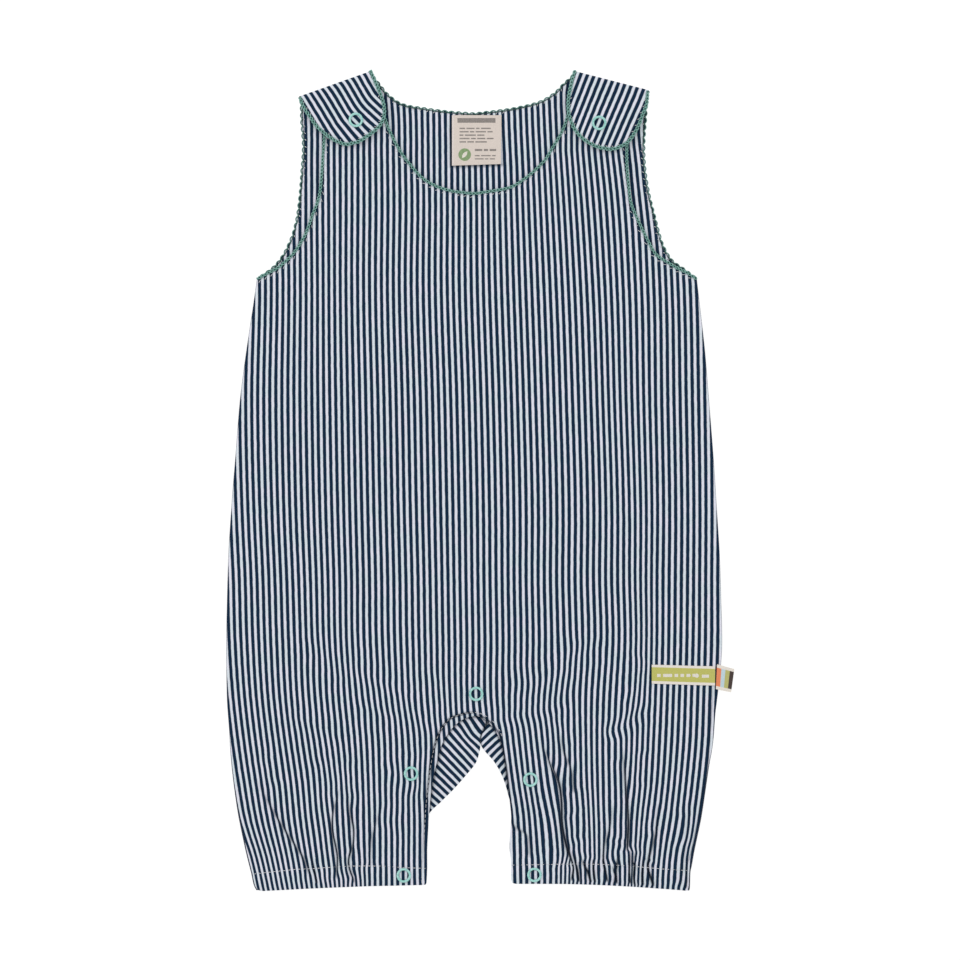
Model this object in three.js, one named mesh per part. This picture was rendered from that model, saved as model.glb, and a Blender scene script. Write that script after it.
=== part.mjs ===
// Baby's sleeveless short dungarees of striped jersey, laid flat and fastened. Millimetres, +Z up.
// The neck points to +Y and the front faces up. Left is -X and right is +X.
// The front lies on the back. The back's shoulder tabs fold over to the front and snap there,
// and the inside leg opens along a row of ring snaps.
import * as THREE from 'three';

// Cloth and clearances
const CLOTH = 1.2;
const SEAM_GAP = 0.3;
const HEM_PLY = 0.6;
const HEM_SECTIONS = 2;
const BAND_CLOTH = 1.0;
const LABEL_CLOTH = 0.6;
const LABEL_GAP = 0.4;

// How finely the body of each panel is divided: columns across a half, strips between two sections
const BODY_GRID = {
  front: { columns: 18, strips: 2 },
  back: { columns: 8, strips: 1 },
};

// Air between the two panels: none at the side seams, full a little way in, none at the shoulders
const LOFT = { rise: 1.5, run: 18, fadeFrom: 90, fadeTo: 150 };

// Turn of a shoulder tab over its fold line
const FOLD = { innerRadius: 0.9, turns: 6 };

// Picot edging: half the scallop pitch, and how far its hollows and points stand out
const EDGING = { halfPitch: 2.45, hollow: 1.0, point: 1.8 };

// Ring snaps: a ring on the outer cloth and a stud below it
const RING = { outerRadius: 4.5, innerRadius: 3.0, crownOuter: 4.1, crownInner: 3.4, height: 1.1 };
const STUD = { radius: 4.0, height: 1.3 };
const SNAP_SIDES = 18;
const SNAP_LIFT = { rise: 1.6, flat: 10, run: 14 };
const SNAPS = table('name x y carrier', [
  ['left_shoulder', -77.2, 223.6, 'tab'],
  ['right_shoulder', 73.5, 221.7, 'tab'],
  ['crotch', -2.7, -131.8, 'front'],
  ['left_knee', -43.0, -181.2, 'front'],
  ['right_knee', 30.9, -184.9, 'front'],
  ['left_hem', -47.5, -244.1, 'front'],
  ['right_hem', 33.4, -243.8, 'front'],
]);

// Elastic gathers of the hems: where they lie, as shares of the hem's width from the side seam,
// and the plain columns before and after them
const GATHERS = {
  left: { from: 0.36, to: 0.62, waves: 6, before: 7, after: 7 },
  right: { from: 0.19, to: 0.69, waves: 12, before: 4, after: 6 },
};
const GATHER_RISE = 0.9;

// Largest folds of the front, each a soft ridge between two points
const FOLDS = table('fromX fromY toX toY rise reach', [
  [-130, -200, -106, -238, 0.9, 6],
  [-87, -194, -92, -214, 0.8, 5],
  [-80, -196, -80, -234, 0.8, 5],
  [-116, -141, -88, -168, 0.7, 9],
  [-62, -176, -30, -150, 0.6, 8],
  [41, -172, 55, -232, 0.9, 6],
  [92, -160, 90, -228, 0.9, 6],
  [97, -128, 80, -158, 0.8, 7],
  [108, -212, 107, -236, 0.7, 5],
  [105, -24, 92, -118, 0.8, 10],
  [-120, -20, -128, -96, 0.6, 11],
  [-40, 96, -96, 62, 0.5, 12],
]);

// Sections of the panels. Each runs from the panel's outer edge to its inner edge: the inside leg,
// the centre line or the neck. strips is the count up to the next section, columns the count along
// it, bow how far its middle rises, gather how much the elastic draws it. A marked section turns
// a corner: at the crotch and the neck on its inner edge, at the armpit on its outer edge.
const SECTION = 'outerX outerY innerX innerY strips columns bow gather mark';
const FRONT_LEG = {
  left: table(SECTION, [
    [-139, -254.5, -33.5, -250.2, 1, 20, 0.6, 1, ''],
    [-141.5, -243, -33, -239.5, 1, 20, 2.9, 1, ''],
    [-142.3, -240, -33, -237, 1, 20, 2.9, 0.9, ''],
    [-145, -229, -33, -227.5, 1, 20, 1.5, 0.6, ''],
    [-149, -210, -32, -209, 2, 20, 0, 0, ''],
    [-152, -191.5, -30.5, -191.5, 2, 20, 0, 0, ''],
    [-154, -176, -27.5, -176, 1, 20, 0, 0, ''],
    [-155, -165.5, -24, -163.5, 1, 20, 0, 0, ''],
    [-155.5, -157.5, -19, -155, 1, 20, 0, 0, ''],
    [-156, -150.5, -13.5, -149.5, 1, 20, 0, 0, ''],
    [-156.5, -144, -8, -146.5, 1, 20, 0, 0, ''],
    [-157, -136, -2, -145.5, 2, 20, 0, 0, 'crotch'],
  ]),
  right: table(SECTION, [
    [129, -254.2, 19, -249.6, 1, 20, 1.5, 1, ''],
    [129.5, -242, 19, -238, 1, 20, 2.3, 1, ''],
    [130.2, -239, 19, -235.5, 1, 20, 2.3, 0.9, ''],
    [132, -229, 18, -227, 1, 20, 1.2, 0.6, ''],
    [136, -210, 19, -209, 2, 20, 0, 0, ''],
    [139, -191.5, 17.5, -193.5, 2, 20, 0, 0, ''],
    [141.5, -176, 15.5, -175.5, 1, 20, 0, 0, ''],
    [143.5, -165.5, 13.5, -165, 1, 20, 0, 0, ''],
    [144.5, -157.5, 11, -158, 1, 20, 0, 0, ''],
    [145, -150.5, 7, -152, 1, 20, 0, 0, ''],
    [145.5, -144, 3, -148, 1, 20, 0, 0, ''],
    [146.5, -136, -2, -145.5, 2, 20, 0, 0, 'crotch'],
  ]),
};
const BACK_LEG = {
  left: table(SECTION, [
    [-139, -254, -38, -249, 1, 8, 0.6, 0, ''],
    [-141.5, -243, -37.5, -239, 1, 8, 0, 0, ''],
    [-145, -229, -37, -227.5, 1, 8, 0, 0, ''],
    [-149, -210, -34, -208.5, 1, 8, 0, 0, ''],
    [-151, -198, -24.7, -197.8, 1, 8, 0, 0, ''],
    [-152, -190, -17.2, -190.3, 1, 8, 0, 0, ''],
    [-153.2, -181.5, -9.7, -181.8, 1, 8, 0, 0, ''],
    [-154.2, -174.3, -3.9, -174.5, 1, 8, 0, 0, ''],
    [-155, -168, -1.4, -168, 1, 8, 0, 0, ''],
    [-155.4, -162.8, 0.1, -162.8, 1, 8, 0, 0, 'crotch'],
    [-157, -136, -1, -136, 1, 8, 0, 0, ''],
  ]),
  right: table(SECTION, [
    [129, -254, 24, -249, 1, 8, 1.9, 0, ''],
    [129.5, -242, 24, -238, 1, 8, 0, 0, ''],
    [132, -229, 23.5, -227, 1, 8, 0, 0, ''],
    [136, -210, 22, -209.7, 1, 8, 0, 0, ''],
    [138.7, -194, 18, -193.8, 1, 8, 0, 0, ''],
    [139.6, -187, 16, -186.6, 1, 8, 0, 0, ''],
    [141, -179.5, 12.9, -179.5, 1, 8, 0, 0, ''],
    [142.2, -172.8, 8.8, -172.8, 1, 8, 0, 0, ''],
    [143, -167.8, 3.7, -167.8, 1, 8, 0, 0, ''],
    [144, -162.8, 0.1, -162.8, 1, 8, 0, 0, 'crotch'],
    [146.5, -136, -1, -136, 1, 8, 0, 0, ''],
  ]),
};

// Level sections of the body, common to the front and the back. The last is at the armpits.
const BODY = table('leftX rightX y centreX', [
  [-157.5, 149.5, -105, -2],
  [-157, 149, -74, -2],
  [-156, 148, -43, -2.5],
  [-154, 146, -12, -3],
  [-151.5, 144, 19, -3],
  [-149, 141.5, 50, -3.5],
  [-145, 139, 81, -3.5],
  [-141, 136, 107.5, -4],
  [-138.5, 134, 125, -4],
]);

const FRONT_SHOULDER = {
  left: table(SECTION, [
    [-133, 128, -4, 142, 1, 16, 0, 0, ''],
    [-125.5, 132, -4, 160.5, 1, 16, 0, 0, ''],
    [-117.5, 139, -4, 178, 2, 14, 0, 0, 'neck'],
    [-112.5, 145.5, -17.5, 179.5, 1, 12, 0, 0, ''],
    [-108, 153.5, -27.5, 182.5, 1, 10, 0, 0, ''],
    [-104, 164.5, -36, 187.5, 1, 8, 0, 0, ''],
    [-100, 175.5, -43, 195, 1, 7, 0, 0, ''],
    [-98.5, 186, -48.5, 202, 1, 6, 0, 0, ''],
    [-97.5, 200.5, -53.5, 210.5, 1, 6, 0, 0, ''],
    [-96.5, 214, -57.5, 219, 1, 6, 0, 0, ''],
    [-96, 225, -60.5, 227.5, 1, 6, 0, 0, ''],
    [-95, 234.5, -64, 238, 1, 6, 0, 0, ''],
  ]),
  right: table(SECTION, [
    [128.5, 128.5, -4, 142, 1, 16, 0, 0, ''],
    [121.5, 132, -4, 160.5, 1, 16, 0, 0, ''],
    [114, 136.5, -4, 178, 2, 14, 0, 0, 'neck'],
    [108, 141, 10, 180, 1, 12, 0, 0, ''],
    [102.5, 151, 19, 182, 1, 10, 0, 0, ''],
    [97, 162.5, 26.5, 186.5, 1, 8, 0, 0, ''],
    [93, 172.5, 34, 192.5, 1, 7, 0, 0, ''],
    [91.5, 184, 41, 200, 1, 6, 0, 0, ''],
    [90.5, 196, 45.5, 207.5, 1, 6, 0, 0, ''],
    [90.5, 207.5, 49.5, 214, 1, 6, 0, 0, ''],
    [91, 219.5, 53, 222, 1, 6, 0, 0, ''],
    [90, 230, 56, 233.5, 1, 6, 0, 0, ''],
  ]),
};
// The last section of each is the fold line of its tab.
const BACK_SHOULDER = {
  left: table(SECTION, [
    [-128.5, 132, -4, 158.5, 1, 8, 0, 0, ''],
    [-122, 140, -4, 193.5, 1, 8, 0, 0, ''],
    [-116.5, 151.5, -4, 227.5, 2, 8, 0, 0, 'neck'],
    [-113, 165.5, -19, 228.5, 1, 8, 0, 0, ''],
    [-111.5, 178, -34, 230.5, 1, 8, 0, 0, ''],
    [-110.5, 191, -49, 233.4, 1, 8, 0, 0, ''],
    [-109.5, 207.5, -57.6, 239.2, 1, 8, 0, 0, ''],
    [-110.5, 222.5, -62.5, 245, 1, 8, 0, 0, ''],
    [-111.2, 236.8, -67.8, 252.2, 1, 8, 0, 0, ''],
  ]),
  right: table(SECTION, [
    [126, 131, -4, 158.5, 1, 8, 0, 0, ''],
    [118.5, 136.5, -4, 193.5, 1, 8, 0, 0, ''],
    [113, 145.5, -4, 227.5, 2, 8, 0, 0, 'neck'],
    [108, 162.5, 9.5, 229, 1, 8, 0, 0, ''],
    [104, 178.5, 22.5, 231, 1, 8, 0, 0, ''],
    [101.5, 194.5, 37, 234.8, 1, 8, 0, 0, ''],
    [101, 209.5, 46.2, 240.2, 1, 8, 0, 0, ''],
    [102, 224.5, 52, 246, 1, 8, 0, 0, ''],
    [103.2, 240.6, 58.3, 252.2, 1, 8, 0, 0, ''],
  ]),
};
// Shoulder tabs past their fold, down to the rounded end
const TAB = {
  left: table(SECTION, [
    [-109, 231.5, -64, 243.5, 1, 8, 0, 0, ''],
    [-105, 225.5, -61, 235.5, 1, 8, 0, 0, ''],
    [-101, 220, -60, 228, 1, 8, 0, 0, ''],
    [-96.5, 216, -61.5, 222.5, 1, 6, 0, 0, ''],
    [-92.5, 213, -65, 218, 1, 5, 0, 0, ''],
    [-88, 210.5, -71, 213.5, 1, 4, 0, 0, ''],
    [-83, 209, -76, 210.5, 1, 2, 0, 0, ''],
  ]),
  right: table(SECTION, [
    [102.5, 233.5, 56.5, 245, 1, 8, 0, 0, ''],
    [100, 227, 55, 237, 1, 8, 0, 0, ''],
    [97.5, 220.5, 55, 229, 1, 8, 0, 0, ''],
    [94.5, 215, 57.5, 220.5, 1, 6, 0, 0, ''],
    [91, 210.5, 61.5, 214.5, 1, 5, 0, 0, ''],
    [85, 207, 68, 209.5, 1, 4, 0, 0, ''],
    [80.5, 206, 74, 207, 1, 2, 0, 0, ''],
  ]),
};

// Placket bands of the back's inside leg. Each section runs from the free edge, or above the notch
// from the centre seam, to the edge that the front hides.
const BAND_SECTION = 'freeX freeY hiddenX hiddenY';
const BANDS = {
  left: table(BAND_SECTION, [
    [-37, -248, -58.5, -249.5],
    [-36.5, -238, -58, -238],
    [-36, -227, -57.5, -220],
    [-33, -208.5, -55.5, -197],
    [-24, -198.5, -51, -183],
    [-16.5, -191, -46, -170],
    [-9, -182.5, -39, -158],
    [-3, -175, -30.5, -146],
    [-0.7, -168, -22, -137],
    [-0.1, -164, -16, -131],
    [-0.2, -160, -11, -127],
    [0.7, -156.3, -6.5, -124],
    [2.7, -152.2, -2, -122],
    [4, -140, 3, -121],
  ]),
  right: table(BAND_SECTION, [
    [23, -248, 45, -249],
    [23, -238, 44.5, -238],
    [22.5, -227, 44, -219],
    [21, -210, 42, -198],
    [17, -194, 37.5, -176],
    [15, -187, 34, -166],
    [12, -180, 29.5, -156],
    [8, -173.5, 24.5, -147],
    [3.5, -168.5, 19.5, -139],
    [0.4, -164, 15.5, -133.5],
    [0.2, -160, 12, -129],
    [1.1, -156.3, 9, -125.5],
    [3.1, -152.2, 6.5, -123],
    [4.4, -140, 4.6, -121],
  ]),
};

// Woven labels: the one inside the back neck, the ribbon on the right front, and the small tab
// that stands out of the right side seam. Corners run anticlockwise from the lower left.
const CORNER = 'x y';
const NECK_LABEL = table(CORNER, [[-17.7, 195.6], [12.7, 195.6], [12.7, 226.9], [-17.7, 226.9]]);
const SIDE_LABEL = table(CORNER, [[106.1, -125.5], [145.4, -126.8], [145.4, -114.9], [106.1, -113.8]]);
const SIDE_TAB = table(CORNER, [[145.9, -129.0], [155.5, -131.1], [157.5, -116.6], [146.6, -113.6]]);
// The tab leaves the seam level and then droops towards the surface below.
const SIDE_TAB_BEND = { from: 0.25, drop: 2.4 };
const LABEL_GRID = {
  neck: { columns: 1, rows: 1 },
  side: { columns: 8, rows: 2 },
  tab: { columns: 6, rows: 1 },
};

// Colours
const FINISH = {
  jersey: { color: 0x6f7690, roughness: 0.95 },
  edging: { color: 0x4fa08a, roughness: 0.9 },
  snap: { color: 0x7fd6c4, roughness: 0.35 },
  stud: { color: 0xb9bdc0, roughness: 0.3, metalness: 1 },
  neckLabel: { color: 0xe2d6cb, roughness: 0.7 },
  ribbon: { color: 0xc3c266, roughness: 0.7 },
};

// Heights of the layers
const BACK_TOP = CLOTH;
const FRONT_UNDER = BACK_TOP + SEAM_GAP;
const BAND_UNDER = BACK_TOP + SEAM_GAP;
const BAND_TOP = BAND_UNDER + BAND_CLOTH;
const TAB_UNDER = FRONT_UNDER + CLOTH + SEAM_GAP;
const FOLD_HEIGHT = (TAB_UNDER + BACK_TOP) / 2;

function table(header, rows) {
  const names = header.split(' ');
  return rows.map((row) => Object.fromEntries(names.map((name, i) => [name, row[i]])));
}

function mix(a, b, t) {
  return a + (b - a) * t;
}

// Eases from 0 to 1
function ease(t) {
  const u = Math.min(Math.max(t, 0), 1);
  return u * u * (3 - 2 * u);
}

function bodySections(side, grid) {
  return BODY.map((row, i) => {
    const atArmpit = i === BODY.length - 1;
    return {
      outerX: row[`${side}X`],
      outerY: row.y,
      innerX: row.centreX,
      innerY: row.y,
      strips: atArmpit ? 1 : grid.strips,
      columns: grid.columns,
      bow: 0,
      gather: 0,
      mark: atArmpit ? 'armpit' : '',
    };
  });
}

// Point on the smooth curve through the ends of the sections, between section i and the next.
// The curve turns sharply only at a corner.
function edgePoint(sections, i, u, end, isCorner) {
  const at = (k) => new THREE.Vector2(sections[k][`${end}X`], sections[k][`${end}Y`]);
  const chord = at(i + 1).sub(at(i));
  const tangent = (k) => {
    const ends = k === 0 || k === sections.length - 1 || isCorner(sections[k]);
    return ends ? chord.clone() : at(k + 1).sub(at(k - 1)).setLength(chord.length());
  };
  const leave = tangent(i);
  const arrive = tangent(i + 1);
  const u2 = u * u;
  const u3 = u2 * u;
  return at(i).multiplyScalar(2 * u3 - 3 * u2 + 1)
    .addScaledVector(at(i + 1), 3 * u2 - 2 * u3)
    .addScaledVector(leave, u3 - 2 * u2 + u)
    .addScaledVector(arrive, u3 - u2);
}

// Places along a section, as shares from its outer edge. A gathered hem has one at the crest and
// one in the hollow of each wave.
function columnPlaces(section, gathers) {
  if (section.gather === 0) {
    const places = Array.from({ length: section.columns + 1 }, (_, j) => j / section.columns);
    return places.map((share) => ({ share, wave: 0 }));
  }
  const { from, to, waves, before, after } = gathers;
  const places = [];
  for (let j = 0; j < before; j += 1) places.push({ share: (from * j) / before, wave: 0 });
  for (let j = 0; j <= waves * 2; j += 1) {
    places.push({ share: mix(from, to, j / (waves * 2)), wave: j % 2 });
  }
  for (let j = 1; j <= after; j += 1) places.push({ share: mix(to, 1, j / after), wave: 0 });
  return places;
}

// Rows of one half of a panel, seen from above, each from left to right
function planRows(sections, side, gathers) {
  const rows = [];
  const isOuterCorner = (section) => section.mark === 'armpit';
  const isInnerCorner = (section) => section.mark === 'crotch' || section.mark === 'neck';
  sections.forEach((section, i) => {
    const next = sections[i + 1];
    const strips = next ? section.strips : 1;
    for (let k = 0; k < strips; k += 1) {
      const u = k / strips;
      const from = next ? i : i - 1;
      const outer = edgePoint(sections, from, next ? u : 1, 'outer', isOuterCorner);
      const inner = edgePoint(sections, from, next ? u : 1, 'inner', isInnerCorner);
      const gather = next ? mix(section.gather, next.gather, u) : section.gather;
      const width = outer.distanceTo(inner);
      const points = columnPlaces(section, gathers).map(({ share, wave }) => ({
        share: side === 'left' ? share : 1 - share,
        x: mix(outer.x, inner.x, share),
        y: mix(outer.y, inner.y, share) + 4 * share * (1 - share) * section.bow,
        inset: share * width,
        gather: wave * gather,
      }));
      if (side === 'right') points.reverse();
      rows.push({ points, mark: k === 0 ? section.mark : '', index: i });
    }
  });
  return rows;
}

// A wall of cloth from rows of points that each have a low and a high place. Rows may have
// different counts: neighbours are stitched in the order of their shares.
function clothWall(blocks) {
  const pairs = [];
  const numbers = new Map();
  const number = (pair) => {
    const key = [...pair.low.toArray(), ...pair.high.toArray()].map((v) => v.toFixed(3)).join();
    if (!numbers.has(key)) {
      numbers.set(key, pairs.length);
      pairs.push(pair);
    }
    return numbers.get(key);
  };
  const faces = [];
  for (const rows of blocks) {
    for (let r = 0; r + 1 < rows.length; r += 1) stitch(rows[r], rows[r + 1], number, faces);
  }
  const count = pairs.length;
  const edges = new Set(faces.flatMap(([a, b, c]) => [`${a}_${b}`, `${b}_${c}`, `${c}_${a}`]));
  const triangles = [];
  for (const [a, b, c] of faces) {
    triangles.push([a, b, c], [c + count, b + count, a + count]);
    for (const [from, to] of [[a, b], [b, c], [c, a]]) {
      if (edges.has(`${to}_${from}`)) continue;
      triangles.push([from + count, to + count, to], [from + count, to, from]);
    }
  }
  const points = [...pairs.map((pair) => pair.high), ...pairs.map((pair) => pair.low)];
  return { points, triangles, faces, geometry: solidGeometry(points, triangles) };
}

function stitch(lower, upper, number, faces) {
  let i = 0;
  let j = 0;
  while (i < lower.length - 1 || j < upper.length - 1) {
    const a = number(lower[i]);
    const b = number(upper[j]);
    const nextLower = i < lower.length - 1 ? lower[i + 1].share : Infinity;
    const nextUpper = j < upper.length - 1 ? upper[j + 1].share : Infinity;
    if (nextLower <= nextUpper) {
      faces.push([a, number(lower[i + 1]), b]);
      i += 1;
    } else {
      faces.push([a, number(upper[j + 1]), b]);
      j += 1;
    }
  }
}

function solidGeometry(points, triangles) {
  const geometry = new THREE.BufferGeometry();
  geometry.setAttribute('position', new THREE.Float32BufferAttribute(points.flatMap((p) => p.toArray()), 3));
  geometry.setIndex(triangles.flat());
  geometry.computeVertexNormals();
  return geometry;
}

// Height of a wall's upper face at a place in plan
function heightOn(wall, x, y) {
  const weight = (p, q) => (p.x - x) * (q.y - y) - (q.x - x) * (p.y - y);
  for (const face of wall.faces) {
    const [a, b, c] = face.map((k) => wall.points[k]);
    const weights = [weight(b, c), weight(c, a), weight(a, b)];
    const total = weights[0] + weights[1] + weights[2];
    if (total > 0 && Math.min(...weights) >= -1e-6 * total) {
      return (weights[0] * a.z + weights[1] * b.z + weights[2] * c.z) / total;
    }
  }
  return -Infinity;
}

function pair(point, low, high) {
  return {
    share: point.share,
    low: new THREE.Vector3(point.x, point.y, low),
    high: new THREE.Vector3(point.x, point.y, high),
  };
}

function snapWeight(x, y, carrier) {
  const weights = SNAPS.filter((snap) => snap.carrier === carrier).map((snap) => {
    const distance = Math.hypot(x - snap.x, y - snap.y);
    return 1 - ease((distance - SNAP_LIFT.flat) / SNAP_LIFT.run);
  });
  return Math.max(...weights);
}

function foldHeight(x, y) {
  let height = 0;
  for (const fold of FOLDS) {
    const along = new THREE.Vector2(fold.toX - fold.fromX, fold.toY - fold.fromY);
    const offset = new THREE.Vector2(x - fold.fromX, y - fold.fromY);
    const share = Math.min(Math.max(offset.dot(along) / along.lengthSq(), 0), 1);
    const distance = offset.addScaledVector(along, -share).length();
    height += fold.rise * Math.exp(-((distance / fold.reach) ** 2));
  }
  return height;
}

function frontPair(point, ply) {
  const { x, y, inset } = point;
  const shoulderFade = 1 - ease((y - LOFT.fadeFrom) / (LOFT.fadeTo - LOFT.fadeFrom));
  const snap = snapWeight(x, y, 'front');
  const seamEase = ease(inset / LOFT.run);
  const wave = foldHeight(x, y) * seamEase + GATHER_RISE * point.gather;
  const low = FRONT_UNDER + LOFT.rise * seamEase * shoulderFade + mix(wave, SNAP_LIFT.rise, snap);
  return pair(point, low, low + CLOTH + ply);
}

function frontHalf(side) {
  const body = bodySections(side, BODY_GRID.front);
  const sections = [...FRONT_LEG[side], ...body, ...FRONT_SHOULDER[side]];
  return planRows(sections, side, GATHERS[side]).map((row) => {
    const ply = row.index < HEM_SECTIONS ? HEM_PLY : 0;
    return { mark: row.mark, points: row.points.map((point) => frontPair(point, ply)) };
  });
}

// The back lies flat on its outer face, then turns over the fold line and lies on the front.
function backHalf(side) {
  const body = bodySections(side, BODY_GRID.back);
  const sections = [...BACK_LEG[side], ...body, ...BACK_SHOULDER[side]];
  const flat = planRows(sections, side).map((row) => ({
    mark: row.mark,
    points: row.points.map((point) => pair(point, 0, BACK_TOP)),
  }));
  const tab = planRows(TAB[side], side).map((row) => ({
    mark: '',
    points: row.points.map((point) => {
      const under = TAB_UNDER + SNAP_LIFT.rise * snapWeight(point.x, point.y, 'tab');
      return pair(point, under + CLOTH, under);
    }),
  }));
  return [...flat, ...foldRows(flat[flat.length - 1].points), ...tab];
}

function foldRows(line) {
  const first = line[0].low;
  const last = line[line.length - 1].low;
  const outward = new THREE.Vector3(first.y - last.y, last.x - first.x, 0).normalize();
  const place = (at, radius, angle) => new THREE.Vector3(at.x, at.y, FOLD_HEIGHT)
    .addScaledVector(outward, radius * Math.sin(angle))
    .add(new THREE.Vector3(0, 0, -radius * Math.cos(angle)));
  return Array.from({ length: FOLD.turns }, (_, k) => {
    const angle = (Math.PI * (k + 1)) / FOLD.turns;
    return {
      mark: '',
      points: line.map((point) => ({
        share: point.share,
        low: place(point.low, FOLD.innerRadius + CLOTH, angle),
        high: place(point.low, FOLD.innerRadius, angle),
      })),
    };
  });
}

// Edges of a half, as runs of pairs with the cloth on their left hand
function firstPoints(rows, mark) {
  const start = rows.findIndex((row) => row.mark === mark);
  return rows.slice(start).map((row) => row.points[0]).reverse();
}

function lastPoints(rows, mark) {
  const start = rows.findIndex((row) => row.mark === mark);
  return rows.slice(start).map((row) => row.points[row.points.length - 1]);
}

function topPoints(rows) {
  return [...rows[rows.length - 1].points].reverse().slice(1, -1);
}

function middle(point) {
  return point.low.clone().add(point.high).multiplyScalar(0.5);
}

// Picot edging along a run of edge points: a strip outside the cloth whose outer side waves
function edging(run) {
  const stations = [];
  for (let i = 0; i + 1 < run.length; i += 1) {
    const length = middle(run[i]).distanceTo(middle(run[i + 1]));
    const steps = Math.max(1, Math.round(length / EDGING.halfPitch));
    for (let k = 0; k < steps; k += 1) {
      stations.push({
        low: run[i].low.clone().lerp(run[i + 1].low, k / steps),
        high: run[i].high.clone().lerp(run[i + 1].high, k / steps),
      });
    }
  }
  stations.push(run[run.length - 1]);
  const points = [];
  stations.forEach((station, k) => {
    const before = middle(stations[Math.max(k - 1, 0)]);
    const after = middle(stations[Math.min(k + 1, stations.length - 1)]);
    const upward = station.high.clone().sub(station.low).normalize();
    const outward = after.sub(before).cross(upward).normalize();
    const reach = k % 2 === 0 ? EDGING.hollow : EDGING.point;
    points.push(
      station.low.clone().addScaledVector(outward, SEAM_GAP),
      station.low.clone().addScaledVector(outward, reach),
      station.high.clone().addScaledVector(outward, reach),
      station.high.clone().addScaledVector(outward, SEAM_GAP),
    );
  });
  const triangles = [[0, 1, 2], [0, 2, 3]];
  for (let k = 0; k + 1 < stations.length; k += 1) {
    for (let c = 0; c < 4; c += 1) {
      const a = 4 * k + c;
      const b = 4 * k + ((c + 1) % 4);
      triangles.push([a, a + 4, b + 4], [a, b + 4, b]);
    }
  }
  const end = 4 * (stations.length - 1);
  triangles.push([end + 2, end + 1, end], [end + 3, end + 2, end]);
  return solidGeometry(points, triangles);
}

function placketBand(side) {
  const rows = BANDS[side].map((section) => {
    const ends = [
      { share: 0, x: section.hiddenX, y: section.hiddenY },
      { share: 1, x: section.freeX, y: section.freeY },
    ];
    if (side === 'right') ends.reverse();
    return ends.map((end, share) => pair({ ...end, share }, BAND_UNDER, BAND_TOP));
  });
  return clothWall([rows]).geometry;
}

// A label over a four-cornered outline, at a height that may change over it
function label(corners, { columns, rows }, height) {
  const grid = [];
  for (let r = 0; r <= rows; r += 1) {
    const row = [];
    for (let c = 0; c <= columns; c += 1) {
      const share = c / columns;
      const across = (axis) => mix(
        mix(corners[0][axis], corners[1][axis], share),
        mix(corners[3][axis], corners[2][axis], share),
        r / rows,
      );
      const point = { share, x: across('x'), y: across('y') };
      const low = height(point, share);
      row.push(pair(point, low, low + LABEL_CLOTH));
    }
    grid.push(row);
  }
  return clothWall([grid]).geometry;
}

function snapRing() {
  const { outerRadius, innerRadius, crownOuter, crownInner, height } = RING;
  const profile = [
    new THREE.Vector2(innerRadius, 0),
    new THREE.Vector2(outerRadius, 0),
    new THREE.Vector2(crownOuter, height),
    new THREE.Vector2(crownInner, height),
    new THREE.Vector2(innerRadius, 0),
  ];
  return new THREE.LatheGeometry(profile, SNAP_SIDES).rotateX(Math.PI / 2);
}

function snapStud() {
  const profile = [
    new THREE.Vector2(0, 0),
    new THREE.Vector2(STUD.radius, 0),
    new THREE.Vector2(STUD.radius, STUD.height),
    new THREE.Vector2(0, STUD.height),
  ];
  return new THREE.LatheGeometry(profile, SNAP_SIDES).rotateX(Math.PI / 2);
}

// Highest place of a wall under a ring
function seatHeight(wall, snap) {
  const heights = [heightOn(wall, snap.x, snap.y)];
  for (let k = 0; k < SNAP_SIDES; k += 1) {
    const angle = (2 * Math.PI * k) / SNAP_SIDES;
    const x = snap.x + RING.outerRadius * Math.cos(angle);
    const y = snap.y + RING.outerRadius * Math.sin(angle);
    heights.push(heightOn(wall, x, y));
  }
  return Math.max(...heights);
}

const garment = new THREE.Group();

function add(name, geometry, finish, z = 0, x = 0, y = 0) {
  const material = new THREE.MeshStandardMaterial(FINISH[finish]);
  const mesh = new THREE.Mesh(geometry, material);
  mesh.name = name;
  mesh.position.set(x, y, z);
  garment.add(mesh);
}

const front = { left: frontHalf('left'), right: frontHalf('right') };
const back = { left: backHalf('left'), right: backHalf('right') };
const onlyPoints = (rows) => rows.map((row) => row.points);
const frontWall = clothWall([onlyPoints(front.left), onlyPoints(front.right)]);
const backWall = clothWall([onlyPoints(back.left), onlyPoints(back.right)]);
add('front', frontWall.geometry, 'jersey');
add('back', backWall.geometry, 'jersey');
add('left_placket_band', placketBand('left'), 'jersey');
add('right_placket_band', placketBand('right'), 'jersey');

const neckRun = [...firstPoints(front.right, 'neck'), ...lastPoints(front.left, 'neck').slice(1)];
const backRun = [
  ...lastPoints(back.right, 'armpit'),
  ...topPoints(back.right),
  ...firstPoints(back.right, 'neck'),
  ...lastPoints(back.left, 'neck').slice(1),
  ...topPoints(back.left),
  ...firstPoints(back.left, 'armpit'),
];
add('front_neck_edging', edging(neckRun), 'edging');
add('front_left_armhole_edging', edging(firstPoints(front.left, 'armpit')), 'edging');
add('front_right_armhole_edging', edging(lastPoints(front.right, 'armpit')), 'edging');
add('back_edging', edging(backRun), 'edging');

// On a tab the upper face is the wall's low side, because the tab is turned over.
const tabTop = TAB_UNDER + SNAP_LIFT.rise + CLOTH;
for (const snap of SNAPS) {
  const onTab = snap.carrier === 'tab';
  const top = onTab ? tabTop : seatHeight(frontWall, snap);
  const studBase = onTab ? seatHeight(frontWall, snap) : BAND_TOP;
  add(`${snap.name}_snap_ring`, snapRing(), 'snap', top + SEAM_GAP, snap.x, snap.y);
  add(`${snap.name}_snap_stud`, snapStud(), 'stud', studBase + SEAM_GAP, snap.x, snap.y);
}

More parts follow.
